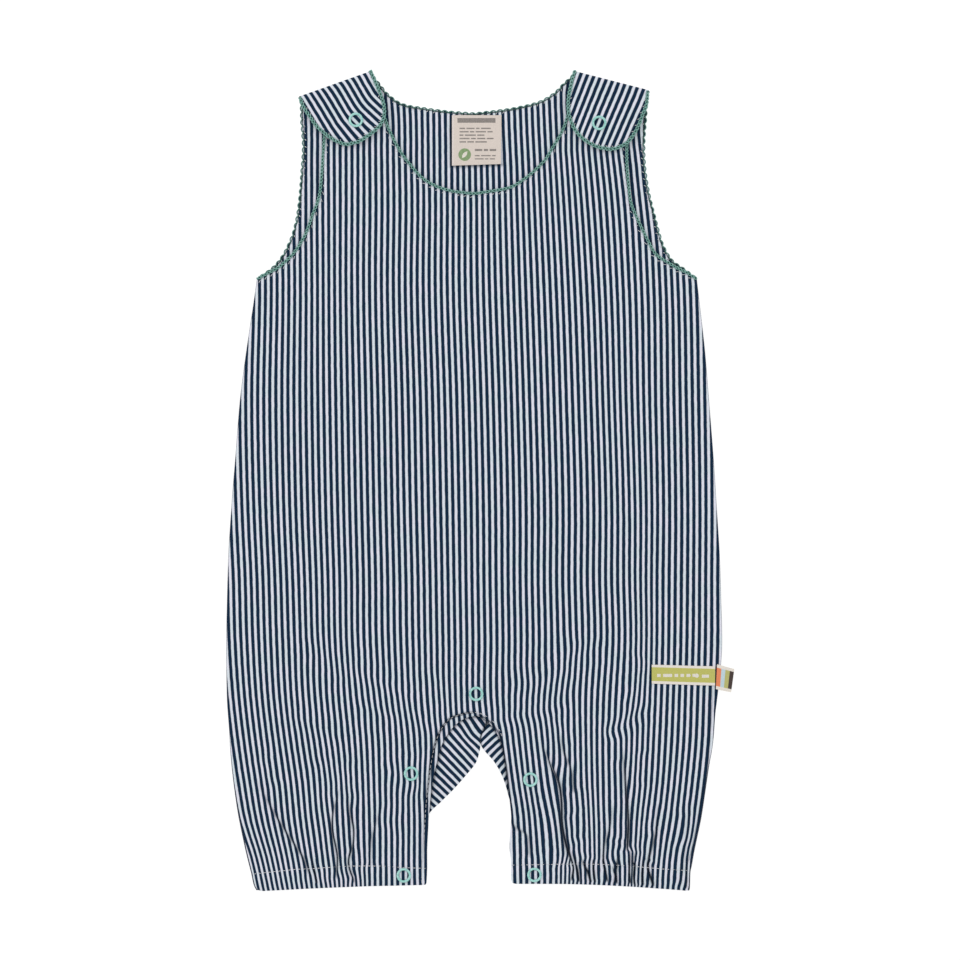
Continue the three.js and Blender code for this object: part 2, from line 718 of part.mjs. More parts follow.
const onBack = () => BACK_TOP + SEAM_GAP;
const onFront = (point) => heightOn(frontWall, point.x, point.y) + LABEL_GAP;
const seamHeight = onFront(SIDE_TAB[3]);
const bendShare = (share) => (share - SIDE_TAB_BEND.from) / (1 - SIDE_TAB_BEND.from);
const offSeam = (point, share) => seamHeight - SIDE_TAB_BEND.drop * ease(bendShare(share));
add('neck_label', label(NECK_LABEL, LABEL_GRID.neck, onBack), 'neckLabel');
add('side_label', label(SIDE_LABEL, LABEL_GRID.side, onFront), 'ribbon');
add('side_tab', label(SIDE_TAB, LABEL_GRID.tab, offSeam), 'ribbon');

const box = new THREE.Box3().setFromObject(garment);
const centre = box.getCenter(new THREE.Vector3());
garment.position.set(-centre.x, -centre.y, -box.min.z);

export default garment;
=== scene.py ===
"""Baby's sleeveless short dungarees of striped jersey, laid out flat with every snap closed.

Sizes are millimetres on the pattern drawing: x to the right of a viewer who looks down at the
front, y towards the neck, z up from the table. Left and right are that viewer's.
"""

import math

import bmesh
import bpy
import numpy as np
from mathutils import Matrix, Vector, geometry, kdtree
from mathutils.bvhtree import BVHTree


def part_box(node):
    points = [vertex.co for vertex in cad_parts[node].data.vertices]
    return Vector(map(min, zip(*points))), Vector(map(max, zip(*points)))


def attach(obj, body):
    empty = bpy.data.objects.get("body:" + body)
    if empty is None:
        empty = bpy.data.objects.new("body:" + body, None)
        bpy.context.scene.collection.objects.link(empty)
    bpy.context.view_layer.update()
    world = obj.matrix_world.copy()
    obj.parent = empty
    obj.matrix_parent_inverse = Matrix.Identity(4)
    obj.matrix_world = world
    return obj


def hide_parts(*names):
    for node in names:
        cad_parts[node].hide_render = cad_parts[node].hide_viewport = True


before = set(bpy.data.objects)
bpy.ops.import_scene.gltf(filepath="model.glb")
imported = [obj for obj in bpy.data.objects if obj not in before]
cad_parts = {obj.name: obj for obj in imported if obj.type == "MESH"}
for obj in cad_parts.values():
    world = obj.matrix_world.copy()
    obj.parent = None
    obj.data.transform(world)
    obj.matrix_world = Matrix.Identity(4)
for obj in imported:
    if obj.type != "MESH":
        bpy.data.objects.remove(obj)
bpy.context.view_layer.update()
bpy.ops.object.select_all(action="DESELECT")

# The drawing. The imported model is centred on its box, so the drawing's origin is found from the
# neck label, whose lower left corner has a known place on the drawing.
MM = 0.001
NECK_LABEL_CORNER = np.array([-17.7, 195.6, 1.5])
DRAWING_ORIGIN = np.array(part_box("neck_label")[0]) / MM - NECK_LABEL_CORNER


def to_frame(points):
    """Drawing points, in millimetres, as places in the frame, in metres."""
    return (np.asarray(points, float) + DRAWING_ORIGIN) * MM


# Jersey: a light single knit of cotton yarn, navy and white in turn, so that the stripes show on
# both faces. Every cloth piece carries its own map: U counts the stripes, V runs along them in
# the same unit. A point attribute darkens the colour where a fold closes over the cloth and along
# edges that lie close on what is below: painted shade.
STRIPE_PITCH = 3.7
NAVY = (0.0055, 0.0220, 0.0530, 1)
COOL_WHITE = (0.705, 0.780, 0.835, 1)
WARM_WHITE = (0.755, 0.755, 0.850, 1)
NAVY_SHARE = 0.57
WALE_WIDTH = 0.85
COURSE_HEIGHT = 0.65
CREASE_SHADE = (0.004, 0.010, 0.022, 1)
# In shares of the pitch: how far a stripe's edge wanders, and over how much it turns white
STRIPE_WOBBLE = 0.05
STRIPE_BLUR = 0.06


def put(tree, kind, inputs, **settings):
    """Adds a shader node, sets or links its inputs and returns it."""
    made = tree.nodes.new(kind)
    for key, value in settings.items():
        setattr(made, key, value)
    for key, value in inputs.items():
        if isinstance(value, bpy.types.NodeSocket):
            tree.links.new(value, made.inputs[key])
        else:
            made.inputs[key].default_value = value
    return made


def calc(tree, operation, *values):
    """Output of a Math node over the given sockets and numbers."""
    inputs = dict(enumerate(values))
    return put(tree, "ShaderNodeMath", inputs, operation=operation).outputs[0]


def remap(tree, value, low, high, to_low=0.0, to_high=1.0):
    """Output that turns smoothly from to_low to to_high as value goes from low to high."""
    inputs = {"Value": value, "From Min": low, "From Max": high, "To Min": to_low, "To Max": to_high}
    return put(tree, "ShaderNodeMapRange", inputs, interpolation_type="SMOOTHSTEP").outputs[0]


def blend_colours(tree, factor, first, second, blend_type="MIX"):
    """Colour output of a Mix node."""
    inputs = {0: factor, 6: first, 7: second}
    made = put(tree, "ShaderNodeMix", inputs, data_type="RGBA", blend_type=blend_type)
    return made.outputs[2]


def noise(tree, place, scale, detail):
    """Output of a Noise node over a place."""
    inputs = {"Vector": place, "Scale": scale, "Detail": detail}
    return put(tree, "ShaderNodeTexNoise", inputs).outputs["Fac"]


def object_place(tree):
    """Output with the place on the object, which is its place in the frame."""
    return put(tree, "ShaderNodeTexCoord", {}).outputs["Object"]


def own_map(tree, name):
    """Output of a piece's own map, and its parts X and Y."""
    uv = put(tree, "ShaderNodeUVMap", {}, uv_map=name).outputs["UV"]
    return uv, put(tree, "ShaderNodeSeparateXYZ", {"Vector": uv}).outputs


def new_group(name, inputs, outputs):
    """An empty shader node group with float, vector or colour sockets."""
    group = bpy.data.node_groups.new(name, "ShaderNodeTree")
    for label, kind in inputs:
        group.interface.new_socket(label, in_out="INPUT", socket_type=kind)
    for label, kind in outputs:
        group.interface.new_socket(label, in_out="OUTPUT", socket_type=kind)
    start = group.nodes.new("NodeGroupInput")
    end = group.nodes.new("NodeGroupOutput")
    return group, start.outputs, end.inputs


def knit_group():
    """Height of knitted loops: columns of small Vs, from a map in millimetres."""
    group, given, made = new_group(
        "knit loops",
        [("Across", "NodeSocketFloat"), ("Along", "NodeSocketFloat")],
        [("Height", "NodeSocketFloat")],
    )
    column = calc(group, "DIVIDE", given["Across"], WALE_WIDTH)
    leg = calc(group, "MULTIPLY", calc(group, "PINGPONG", column, 0.5), 2.0)
    course = calc(group, "DIVIDE", given["Along"], COURSE_HEIGHT)
    turn = calc(group, "MULTIPLY", calc(group, "SUBTRACT", course, leg), 2 * math.pi)
    loop = calc(group, "MULTIPLY_ADD", calc(group, "SINE", turn), 0.5, 0.5)
    rounded = calc(group, "SINE", calc(group, "MULTIPLY", leg, math.pi))
    group.links.new(calc(group, "MULTIPLY", loop, rounded), made["Height"])
    return group


KNIT = knit_group()


def new_material(name):
    """A material with only its shader, ready to be given nodes."""
    material = bpy.data.materials.new(name)
    material.use_nodes = True
    shader = material.node_tree.nodes["Principled BSDF"]
    return material, material.node_tree, shader


def bumped(tree, shader, height, strength, distance):
    """Gives the shader a bump from a height output."""
    inputs = {"Strength": strength, "Distance": distance, "Height": height}
    tree.links.new(put(tree, "ShaderNodeBump", inputs).outputs["Normal"], shader.inputs["Normal"])


def jersey_material():
    """Knit stripes with a slightly uneven edge, in yarn that is a little mottled, with painted shade.
    """
    material, tree, shader = new_material("striped jersey")
    uv, place = own_map(tree, "cloth")
    wobble = calc(tree, "MULTIPLY_ADD", noise(tree, uv, 0.9, 1.0), 2 * STRIPE_WOBBLE, -STRIPE_WOBBLE)
    from_stripe = calc(tree, "PINGPONG", calc(tree, "ADD", place["X"], wobble), 0.5)
    edge = NAVY_SHARE / 2
    navy = remap(tree, from_stripe, edge - STRIPE_BLUR, edge + STRIPE_BLUR, 1.0, 0.0)
    yarn = noise(tree, uv, 4.0, 1.0)
    cloud = noise(tree, uv, 0.35, 2.0)
    white = blend_colours(tree, remap(tree, cloud, 0.35, 0.65), COOL_WHITE, WARM_WHITE)
    plain = blend_colours(tree, navy, white, NAVY)
    patchy = remap(tree, cloud, 0.3, 0.7, -0.03, 0.02)
    mottle = calc(tree, "ADD", remap(tree, yarn, 0.3, 0.7, 0.94, 1.04), patchy)
    lively = blend_colours(tree, 1.0, plain, mottle, "MULTIPLY")
    # Painted shade: the point attribute blends the colour towards CREASE_SHADE
    painted_shade = put(tree, "ShaderNodeAttribute", {}, attribute_name="painted_shade").outputs["Fac"]
    shaded = blend_colours(tree, painted_shade, lively, CREASE_SHADE)
    tree.links.new(shaded, shader.inputs["Base Color"])
    knit = put(tree, "ShaderNodeGroup", {}, node_tree=KNIT)
    tree.links.new(calc(tree, "MULTIPLY", place["X"], STRIPE_PITCH), knit.inputs["Across"])
    tree.links.new(calc(tree, "MULTIPLY", place["Y"], STRIPE_PITCH), knit.inputs["Along"])
    bumped(tree, shader, knit.outputs["Height"], 0.1, 0.06 * MM)
    shader.inputs["Roughness"].default_value = 0.92
    shader.inputs["Specular IOR Level"].default_value = 0.08
    return material


JERSEY = jersey_material()


# Front: one cut of jersey with the body and both short legs, 1.2 mm thick with soft, cut edges.
# It lies on the back, which side seams and snaps join to it. Creases run over it, and the elastic
# in its hems draws them into small pleats.
CLOTH = 1.2
# Steps of the mesh inside the cloth and along its edge, and steps between a course's places
MESH_STEP = 2.6
EDGE_STEP = 1.2
COURSE_STEPS = 5
# Share of the thickness at a cut edge, and reach over which the solid's facets are smoothed away
EDGE_THINNING = 0.5
FACET_BLUR = 3.0
# A face looks up where its normal rises by more than this
LOOKS_UP = 0.2
# An outline that turns by more than this has a true corner there
CORNER = math.radians(33)

# How the stripes of the front run: at each height, the places of every tenth stripe, counted
# from the one beside the crotch, and of a few in between.
FRONT_STRIPES = (-40, -30, -20, -10, 0, 5, 10, 20, 25, 30, 35, 40)
FRONT_GRAIN = (
    (205.0, (-154.0, -116.5, -79.7, -43.1, -6.3, 11.2, 28.6, 63.4, 81.8, 99.4, 118.0, 136.5)),
    (174.2, (-154.0, -116.0, -79.7, -42.5, -6.0, 11.8, 29.7, 66.1, 85.2, 104.2, 122.8, 141.0)),
    (124.6, (-151.6, -115.2, -79.9, -43.0, -5.8, 12.9, 31.6, 69.4, 88.2, 107.3, 126.0, 145.0)),
    (50.2, (-153.1, -115.6, -78.6, -41.0, -3.4, 15.4, 34.2, 72.2, 90.2, 108.5, 127.5, 146.8)),
    (-24.2, (-151.3, -114.2, -77.2, -39.6, -1.9, 17.0, 35.9, 74.1, 92.4, 109.7, 128.5, 147.3)),
    (-60.0, (-149.6, -112.7, -76.3, -38.7, -1.6, 17.1, 35.7, 73.8, 92.4, 109.3, 128.3, 147.1)),
    (-98.6, (-148.5, -111.5, -75.9, -38.1, -1.0, 17.7, 36.4, 74.7, 93.2, 109.2, 127.9, 147.1)),
    (-135.8, (-146.0, -109.8, -73.0, -36.6, -0.8, 17.7, 35.8, 72.5, 91.3, 108.3, 126.9, 146.0)),
    (-160.6, (-143.1, -106.8, -70.7, -33.5, 2.3, 20.3, 38.4, 72.1, 90.3, 107.2, 126.0, 145.1)),
    (-185.4, (-139.5, -103.3, -69.6, -34.3, 5.3, 23.5, 40.2, 72.5, 90.0, 105.9, 123.9, 142.6)),
    (-210.2, (-135.6, -101.2, -68.9, -33.8, 9.0, 27.1, 44.1, 73.1, 89.6, 103.1, 121.1, 139.0)),
    (-235.0, (-129.1, -97.8, -68.9, -34.0, 9.9, 28.4, 46.9, 73.1, 89.6, 100.7, 117.2, 134.0)),
    (-256.0, (-124.9, -94.8, -68.8, -33.6, 10.2, 28.8, 47.1, 73.2, 89.4, 99.2, 115.8, 132.8)),
)

# Creases, each from its upper end down: depth, half width, how many stripes are tucked away in
# it, course. The last one runs the other way, from the hem up round the inside leg.
CREASES = (
    (0.45, 1.3, 0.4, ((-139, -185), (-131, -200), (-121.5, -216), (-114, -227), (-109, -235),
                      (-105.5, -245))),
    (0.6, 1.1, 0.7, ((-87, -190), (-91, -204), (-92, -216), (-89.8, -226), (-88.6, -234),
                     (-89.5, -247))),
    (0.55, 1.1, 0.5, ((-83, -188), (-81, -205), (-78.6, -216), (-79.2, -226), (-81.8, -237),
                      (-77.2, -250))),
    (0.3, 1.4, 0.3, ((-61, -200), (-66, -216), (-68, -226), (-68.5, -240))),
    (1.0, 1.2, 1.9, ((37, -160), (43, -175), (48.5, -187), (50.2, -199), (50.5, -213), (53.3, -226),
                     (57.2, -237))),
    (0.4, 1.2, 0.3, ((49, -156), (52, -169), (56.5, -180), (58, -194))),
    (0.9, 1.1, 0.9, ((88, -165), (90, -189), (91.5, -208), (91.4, -219), (90.8, -230))),
    (0.5, 1.2, 0.2, ((110, -200), (109, -216), (106.5, -226), (104, -235))),
    (0.2, 1.4, 0.1, ((130, -196), (128.5, -214), (126, -234), (123.5, -252))),
    (0.4, 1.2, 0.3, ((82, -200), (80, -215), (76.8, -226), (76.2, -236))),
    (0.3, 1.5, 0.2, ((17, -200), (20, -213), (29, -220), (31, -234))),
    (0.8, 0.9, 0.4, ((-36.2, -243), (-35.6, -228.7), (-34.6, -213.3), (-33.8, -200.9),
                     (-32.4, -188.5), (-30.9, -176.7), (-29.0, -166.8), (-26.4, -158.1),
                     (-22.6, -151.3), (-18.3, -147.0), (-13.7, -145.2), (-7.0, -143.6),
                     (-0.6, -143.6))),
)

# Small pleats into which the elastic draws the hems, in the same columns
PLEATS = (
    (0.6, 0.8, 0.10, ((-104.6, -232), (-103.6, -238), (-102.4, -244), (-101.4, -250))),
    (0.8, 0.8, 0.15, ((53.4, -225), (55.3, -232), (56.9, -236.6), (57.6, -240.5), (56.3, -248))),
    (1.0, 0.9, 0.20, ((57.2, -230), (58.8, -236.2), (60.0, -241), (61.2, -249))),
    (1.0, 0.9, 0.15, ((62.9, -234), (64.4, -238.2), (66.6, -242.4), (68.6, -249))),
    (0.8, 0.8, 0.10, ((69.6, -234), (70.0, -239), (70.3, -243), (71.0, -249))),
    (0.9, 0.8, 0.15, ((76.9, -226), (76.2, -232), (76.4, -237), (77.5, -242), (78.9, -249))),
    (0.6, 0.8, 0.05, ((81.6, -238), (82.6, -242), (83.3, -245), (82.5, -250))),
    (1.0, 0.9, 0.20, ((85.4, -231), (84.6, -237.5), (84.0, -242), (84.4, -250))),
    (0.8, 0.8, 0.10, ((92.9, -228), (92.4, -236), (92.3, -243), (93.0, -250))),
    (0.9, 0.9, 0.15, ((96.4, -229), (94.4, -235.5), (95.4, -238.6), (94.9, -245), (95.6, -251))),
    (0.7, 0.8, 0.10, ((101.2, -233), (100.4, -240), (100.2, -245), (100.8, -251))),
    (1.0, 0.9, 0.15, ((105.6, -227), (104.0, -235), (103.9, -240), (105.4, -245.5), (107.4, -251.5))),
    (0.5, 0.8, 0.05, ((128.6, -234), (127.4, -240), (128.0, -247), (127.2, -253))),
)

# Across a crease, in half widths: two rolls of cloth stand beside it, each with its place and its
# height as a share of the crease's depth. Its floor gets dark painted shade and its sides a weak
# painted shade, which is uneven along the crease.
CREASE_ROLLS = ((-1.9, 0.6), (2.0, 0.3))
ROLL_WIDTH = 1.2
FLOOR_STEEPNESS = 1.2
FLOOR_SHADE = {"darkness": 1.3, "width": 0.6}
SIDE_SHADE = {"darkness": 0.4, "width": 1.6, "mean": 0.75, "swing": 0.25, "waves": 11}
DARKEST = 0.97
# Shares of a course over which a crease, a shade and a sway grow and then die out
CREASE_ENDS = (0.4, 0.12)
SHADE_ENDS = (0.25, 0.1)
SWERVE_ENDS = (0.25, 0.25)
# The stripes slip into a crease over SLIP half widths and draw together over TUCK_SPREAD mm
SLIP = 3.0
TUCK_SPREAD = 14.0
# The navy stripe that runs along a crease is drawn onto it over FOLLOW_REACH half widths, by at
# most FOLLOW_LIMIT of a stripe for each mm of that. A crease that crosses more than FOLLOW_DRIFT
# stripes draws none.
FOLLOW_REACH = 3.0
FOLLOW_LIMIT = 0.07
FOLLOW_DRIFT = 1.6

# Edges that lie close on what is below, with a line of painted shade along them: darkness, half
# width, course
EDGE_SHADES = (
    (0.55, 0.5, ((144.3, -118), (143.9, -132.5), (142.7, -151), (141.6, -167), (140.4, -182),
                 (136.9, -197), (134, -213.5), (130, -232), (126.5, -241))),
    (0.90, 0.7, ((19.6, -214), (18.7, -200), (17.4, -188.7), (15.9, -176.3), (14.0, -167),
                 (12.2, -158.8), (9.9, -154.0), (6.1, -149.4), (1.1, -145.9), (-4.0, -144.4))),
)

# Soft folds that only sway the stripes: how far to the right, half width and course of each
SWERVES = (
    (1.2, 8.0, ((66, -94), (58, -103), (50, -115), (42, -121), (32, -126), (20, -125), (10, -122))),
    (-0.6, 4.5, ((62, -124), (50, -136), (40, -142), (28, -145), (15, -147))),
    (-0.5, 5.0, ((80, -101), (70, -105), (60, -109), (50, -117))),
    (0.8, 5.0, ((99, -106), (97, -116), (94, -128), (88, -138))),
    (-1.2, 4.0, ((106, -139), (98, -145), (90, -151), (80, -155), (74, -156))),
    (0.6, 5.0, ((84, -156), (85, -166), (86, -176))),
    (-0.6, 4.0, ((101, -166), (100, -178), (99, -190))),
    (-0.6, 4.0, ((3, -151), (12, -148), (20, -146), (30, -146))),
    (-0.6, 4.0, ((45, -144), (52, -150), (54, -156), (48, -166))),
    (0.6, 7.0, ((-112, -98), (-100, -110), (-92, -118), (-85, -130))),
    (-0.55, 5.0, ((-82, -111), (-70, -120), (-58, -126), (-44, -133))),
    (0.55, 5.0, ((-82, -138), (-70, -143), (-60, -147), (-46, -152))),
    (-0.5, 5.0, ((-120, -143), (-108, -149), (-95, -155), (-80, -162))),
    (0.5, 6.0, ((-103, -172), (-98, -182), (-91, -194))),
    (-0.6, 4.0, ((-81, -172), (-79.5, -184), (-78, -196))),
    (-0.6, 5.0, ((-133, -166), (-130, -178), (-126, -190))),
    (1.1, 6.0, ((-60, -175), (-52, -182), (-45, -188), (-36, -189))),
    (-0.6, 6.0, ((-68, -206), (-56, -210), (-44, -213))),
    (-0.5, 4.0, ((-48, -129), (-42, -138), (-37, -147), (-32, -155))),
    (0.5, 5.0, ((-32, -118), (-28, -132), (-24, -146))),
    (-0.9, 7.0, ((85, -219), (84, -228), (83, -240))),
    (0.6, 5.0, ((49, -166), (52, -180), (53.5, -192), (53, -206))),
    (-0.9, 6.0, ((55, -204), (57, -214), (60, -226))),
    (-0.6, 5.0, ((62, -232), (62, -243), (63, -254))),
    (0.6, 7.0, ((126, -202), (127, -214), (126, -228))),
    (1.2, 4.0, ((106, -214), (106, -227), (105, -238))),
    (-1.0, 4.0, ((-81, -194), (-79, -208), (-78, -222), (-79, -234))),
    (0.7, 5.5, ((-42, -162), (-40, -178), (-40, -194))),
)
# Where the stripes sway the cloth stands higher by this share of the sway
SWERVE_LIFT = 0.12

# Hem corners that are rounded, with how far the rounding reaches along the edges
HEM_ROUNDING = (
    ((-139, -254.5), 4.0),
    ((-34, -250), 1.5),
    ((19, -249), 3.0),
    ((129, -254.2), 1.5),
)
# The middle of a rounding lies between the corner and both its cuts, with these shares
ROUNDED_MIDDLE = {"corner": 0.55, "cut": 0.225}

# Rows of stitches that hold the turned hems down
HEM_STITCH = {
    "left": ((-141.2, -243.7), (-127, -242), (-114.4, -240.6), (-102, -240), (-81.5, -238.5),
             (-61, -238.5), (-47, -239.4), (-33.4, -240)),
    "right": ((18.9, -237.9), (35, -237.6), (58.6, -237.2), (74.1, -237.5), (93.3, -238.5),
              (115, -240.6), (129.6, -241.7)),
}
STITCH_GROOVE = {"depth": 0.35, "half_width": 0.8}

# Cloth is a mesh of even triangles. It is finer up to these distances from a stitched hem, a
# shaded edge, and a crease's floor, sides and surroundings. Only a deep crease has a fine floor.
TRIANGLE_HEIGHT = 0.866
# Inner points keep this share of a step away from the outline, where 1.4 edge steps are the most
RIM_GAP = {"share": 0.55, "most": 1.4}
FINE_NEAR = {"stitches": 2.5, "shade": 1.2, "floor": 0.75, "side": 1.7, "around": 4}
DEEP_CREASE = 0.45
# Folds grow to their full height over the first millimetres in from the cut edge
FOLD_RIM = {"reach": 2.5, "start": 0.35}


def ease(share):
    """Turns a share from 0 to 1 into one that starts and ends softly."""
    share = np.clip(share, 0, 1)
    return share * share * (3 - 2 * share)


def between_ends(along, ends):
    """Strength along a course: it grows over the first share and dies out over the last."""
    return ease(along / ends[0]) * ease((1 - along) / ends[1])


def beside(distance, width):
    """Strength beside a line: 1 on it, and softly less with the distance."""
    return np.exp(-((distance / width) ** 2))


def curve_place(start, end, leave, arrive, share):
    """Place at a share of a smooth curve that leaves start and arrives at end in given ways."""
    square, cube = share**2, share**3
    return (
        start * (2 * cube - 3 * square + 1)
        + end * (3 * square - 2 * cube)
        + leave * (cube - 2 * square + share)
        + arrive * (cube - square)
    )


def chosen_faces(node, keep):
    """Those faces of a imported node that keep(normal, centre) picks, on the drawing, joined up."""
    sheet = bmesh.new()
    sheet.from_mesh(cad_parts[node].data)
    for vertex in sheet.verts:
        vertex.co = vertex.co / MM - Vector(DRAWING_ORIGIN)
    bmesh.ops.remove_doubles(sheet, verts=sheet.verts, dist=0.01)
    sheet.normal_update()
    dropped = [face for face in sheet.faces if not keep(face.normal, face.calc_center_median())]
    bmesh.ops.delete(sheet, geom=dropped, context="FACES")
    return sheet


def outline_of(sheet):
    """Corners of a sheet's outline in plan, anticlockwise, from its lowest one on."""
    following = {}
    for edge in sheet.edges:
        if edge.is_boundary:
            loop = edge.link_loops[0]
            following[loop.vert] = loop.link_loop_next.vert
    start = min(following, key=lambda vertex: (round(vertex.co.y, 2), vertex.co.x))
    corners = [start]
    while following[corners[-1]] != start:
        corners.append(following[corners[-1]])
    outline = np.array([vertex.co[:2] for vertex in corners])
    x, y = outline.T
    area = np.sum(x * np.roll(y, -1) - y * np.roll(x, -1)) / 2
    return outline if area > 0 else outline[::-1]


def smooth_outline(outline, step):
    """The outline as a curve through its corners, which turns sharply only at true corners."""
    ahead = np.roll(outline, -1, axis=0) - outline
    length = np.linalg.norm(ahead, axis=1)
    heading = np.arctan2(ahead[:, 1], ahead[:, 0])
    turn = np.abs((heading - np.roll(heading, 1) + math.pi) % (2 * math.pi) - math.pi)
    through = np.roll(outline, -1, axis=0) - np.roll(outline, 1, axis=0)
    through /= np.linalg.norm(through, axis=1)[:, None]
    count = len(outline)
    points = []
    for i in range(count):
        j = (i + 1) % count
        leave = ahead[i] if turn[i] > CORNER else through[i] * length[i]
        arrive = ahead[i] if turn[j] > CORNER else through[j] * length[i]
        for share in np.arange(0, 1, 1 / max(1, round(length[i] / step))):
            points.append(curve_place(outline[i], outline[j], leave, arrive, share))
    return np.array(points)


def nearest_corner(outline, place):
    """Number of an outline's corner nearest to a place."""
    return int(np.argmin(np.linalg.norm(outline - np.array(place), axis=1)))


def rounded(outline, rounding):
    """The outline with the corners nearest to some places cut, so that they come out round."""
    for place, radius in rounding:
        i = nearest_corner(outline, place)
        corner = outline[i]
        cut = []
        for neighbour in (outline[i - 1], outline[(i + 1) % len(outline)]):
            away = neighbour - corner
            cut.append(corner + away / np.linalg.norm(away) * radius)
        middle = corner * ROUNDED_MIDDLE["corner"] + (cut[0] + cut[1]) * ROUNDED_MIDDLE["cut"]
        outline = np.vstack([outline[:i], cut[0], middle, cut[1], outline[i + 1 :]])
    return outline


def through_points(points, steps):
    """A smooth curve through points, with so many steps from each to the next."""
    points = np.asarray(points, float)
    count = len(points)
    course = []
    for i in range(count - 1):
        before, after = points[max(i - 1, 0)], points[min(i + 2, count - 1)]
        leave = (points[i + 1] - before) / 2
        arrive = (after - points[i]) / 2
        for share in np.arange(steps) / steps:
            course.append(curve_place(points[i], points[i + 1], leave, arrive, share))
    course.append(points[-1])
    return np.array(course)


def across_line(points, line):
    """Distance of each point from a line of points, above 0 on its left, and its share along."""
    nearest = np.full(len(points), np.inf)
    side = np.ones(len(points))
    along = np.zeros(len(points))
    line = np.asarray(line, float)
    for i in range(len(line) - 1):
        run = line[i + 1] - line[i]
        offset = points - line[i]
        share = np.clip(offset @ run / (run @ run), 0, 1)
        gap = offset - share[:, None] * run
        distance = np.hypot(gap[:, 0], gap[:, 1])
        closer = distance < nearest
        turn = run[0] * offset[:, 1] - run[1] * offset[:, 0]
        nearest = np.where(closer, distance, nearest)
        side = np.where(closer, np.sign(turn), side)
        along = np.where(closer, (i + share) / (len(line) - 1), along)
    return nearest * side, along


def away_from(points, line, reach):
    """Distance of each point from a line, endless where it is out of reach."""
    line = np.asarray(line, float)
    inside = np.all((points > line.min(0) - reach) & (points < line.max(0) + reach), axis=1)
    away = np.full(len(points), np.inf)
    away[inside] = np.abs(across_line(points[inside], line)[0])
    return away


def distance_from(points, places):
    """Distance of each point from the nearest of some places in plan."""
    tree = kdtree.KDTree(len(places))
    for i, place in enumerate(places):
        tree.insert((place[0], place[1], 0), i)
    tree.balance()
    return np.array([tree.find((x, y, 0))[2] for x, y in points])


def cut_cloth(outline, step, level_at):
    """Flat cloth inside an outline, as points and triangles. Levels 1 to 3 are woven finer."""
    low, high = outline.min(0), outline.max(0)
    grids = []
    for level, spacing in enumerate((step, step / 2, step / 4, step / 8)):
        x, y = np.meshgrid(
            np.arange(low[0], high[0], spacing),
            np.arange(low[1], high[1], spacing * TRIANGLE_HEIGHT),
        )
        x[1::2] += spacing / 2
        grid = np.column_stack([x.ravel(), y.ravel()])
        grid = grid[level_at(grid) == level]
        clear = RIM_GAP["share"] * min(spacing, EDGE_STEP * RIM_GAP["most"])
        grids.append(grid[distance_from(grid, outline) > clear])
    points = [Vector(point) for point in np.vstack([outline, *grids])]
    count = len(outline)
    rim = [(i, (i + 1) % count) for i in range(count)]
    found, _, faces, *_ = geometry.delaunay_2d_cdt(points, rim, [], 1, 1e-5)
    faces = np.array(faces)
    used, faces = np.unique(faces, return_inverse=True)
    flat = np.array([found[i][:] for i in used])
    return flat, faces.reshape(-1, 3)


def soft_height(sheet, blur):
    """Function that gives a packed sheet's height at places in plan, its facets smoothed away."""
    # Heights on a grid with a margin are blurred, and so is a map of where there is cloth
    step = 1.5
    tree = BVHTree.FromBMesh(sheet)
    corners = np.array([vertex.co[:2] for vertex in sheet.verts])
    low = corners.min(0) - 4 * blur
    columns, rows = np.ceil((corners.max(0) + 4 * blur - low) / step).astype(int) + 1
    height = np.zeros((rows, columns))
    weight = np.zeros((rows, columns))
    down = Vector((0, 0, -1))
    for r in range(rows):
        for c in range(columns):
            hit = tree.ray_cast(Vector((low[0] + c * step, low[1] + r * step, 100)), down)[0]
            if hit:
                height[r, c] = hit.z
                weight[r, c] = 1
    reach = int(3 * blur / step) + 1
    kernel = np.exp(-((np.arange(-reach, reach + 1) * step / blur) ** 2) / 2)
    for axis in (0, 1):
        height = np.apply_along_axis(np.convolve, axis, height, kernel, mode="same")
        weight = np.apply_along_axis(np.convolve, axis, weight, kernel, mode="same")
    height /= np.maximum(weight, 1e-9)

    def height_at(points):
        place = (np.asarray(points)[:, :2] - low) / step
        corner = np.floor(place).astype(int)
        fx, fy = (place - corner).T
        c, r = corner.T
        lower = height[r, c] * (1 - fx) + height[r, c + 1] * fx
        upper = height[r + 1, c] * (1 - fx) + height[r + 1, c + 1] * fx
        return lower * (1 - fy) + upper * fy

    return height_at


def stripe_count(points, grain, stripes):
    """Stripe number at each place, from a table of how the stripes run."""
    levels = np.array([row[0] for row in grain])[::-1]
    places = np.array([row[1] for row in grain])[::-1]
    slopes = np.gradient(places, levels, axis=0)
    y = np.clip(points[:, 1], levels[0], levels[-1])
    i = np.clip(np.searchsorted(levels, y) - 1, 0, len(levels) - 2)
    gap = (levels[i + 1] - levels[i])[:, None]
    share = (y - levels[i])[:, None] / gap
    guides = curve_place(places[i], places[i + 1], slopes[i] * gap, slopes[i + 1] * gap, share)
    x = points[:, 0]
    k = np.clip((guides < x[:, None]).sum(1) - 1, 0, len(stripes) - 2)
    rows = np.arange(len(points))
    before, after = guides[rows, k], guides[rows, k + 1]
    stripes = np.array(stripes, float)
    return stripes[k] + (x - before) / (after - before) * (stripes[k + 1] - stripes[k])


def drawn_along(along, line, half_width):
    """How far the navy stripe nearest to a crease is drawn onto it, in stripes."""
    number = stripe_count(line, FRONT_GRAIN, FRONT_STRIPES)
    if abs(number[-1] - number[0]) > FOLLOW_DRIFT:
        return np.zeros(len(along))
    offset = number - round(np.median(number))
    limit = FOLLOW_LIMIT * FOLLOW_REACH * half_width
    return np.interp(along, np.linspace(0, 1, len(line)), np.clip(offset, -limit, limit))


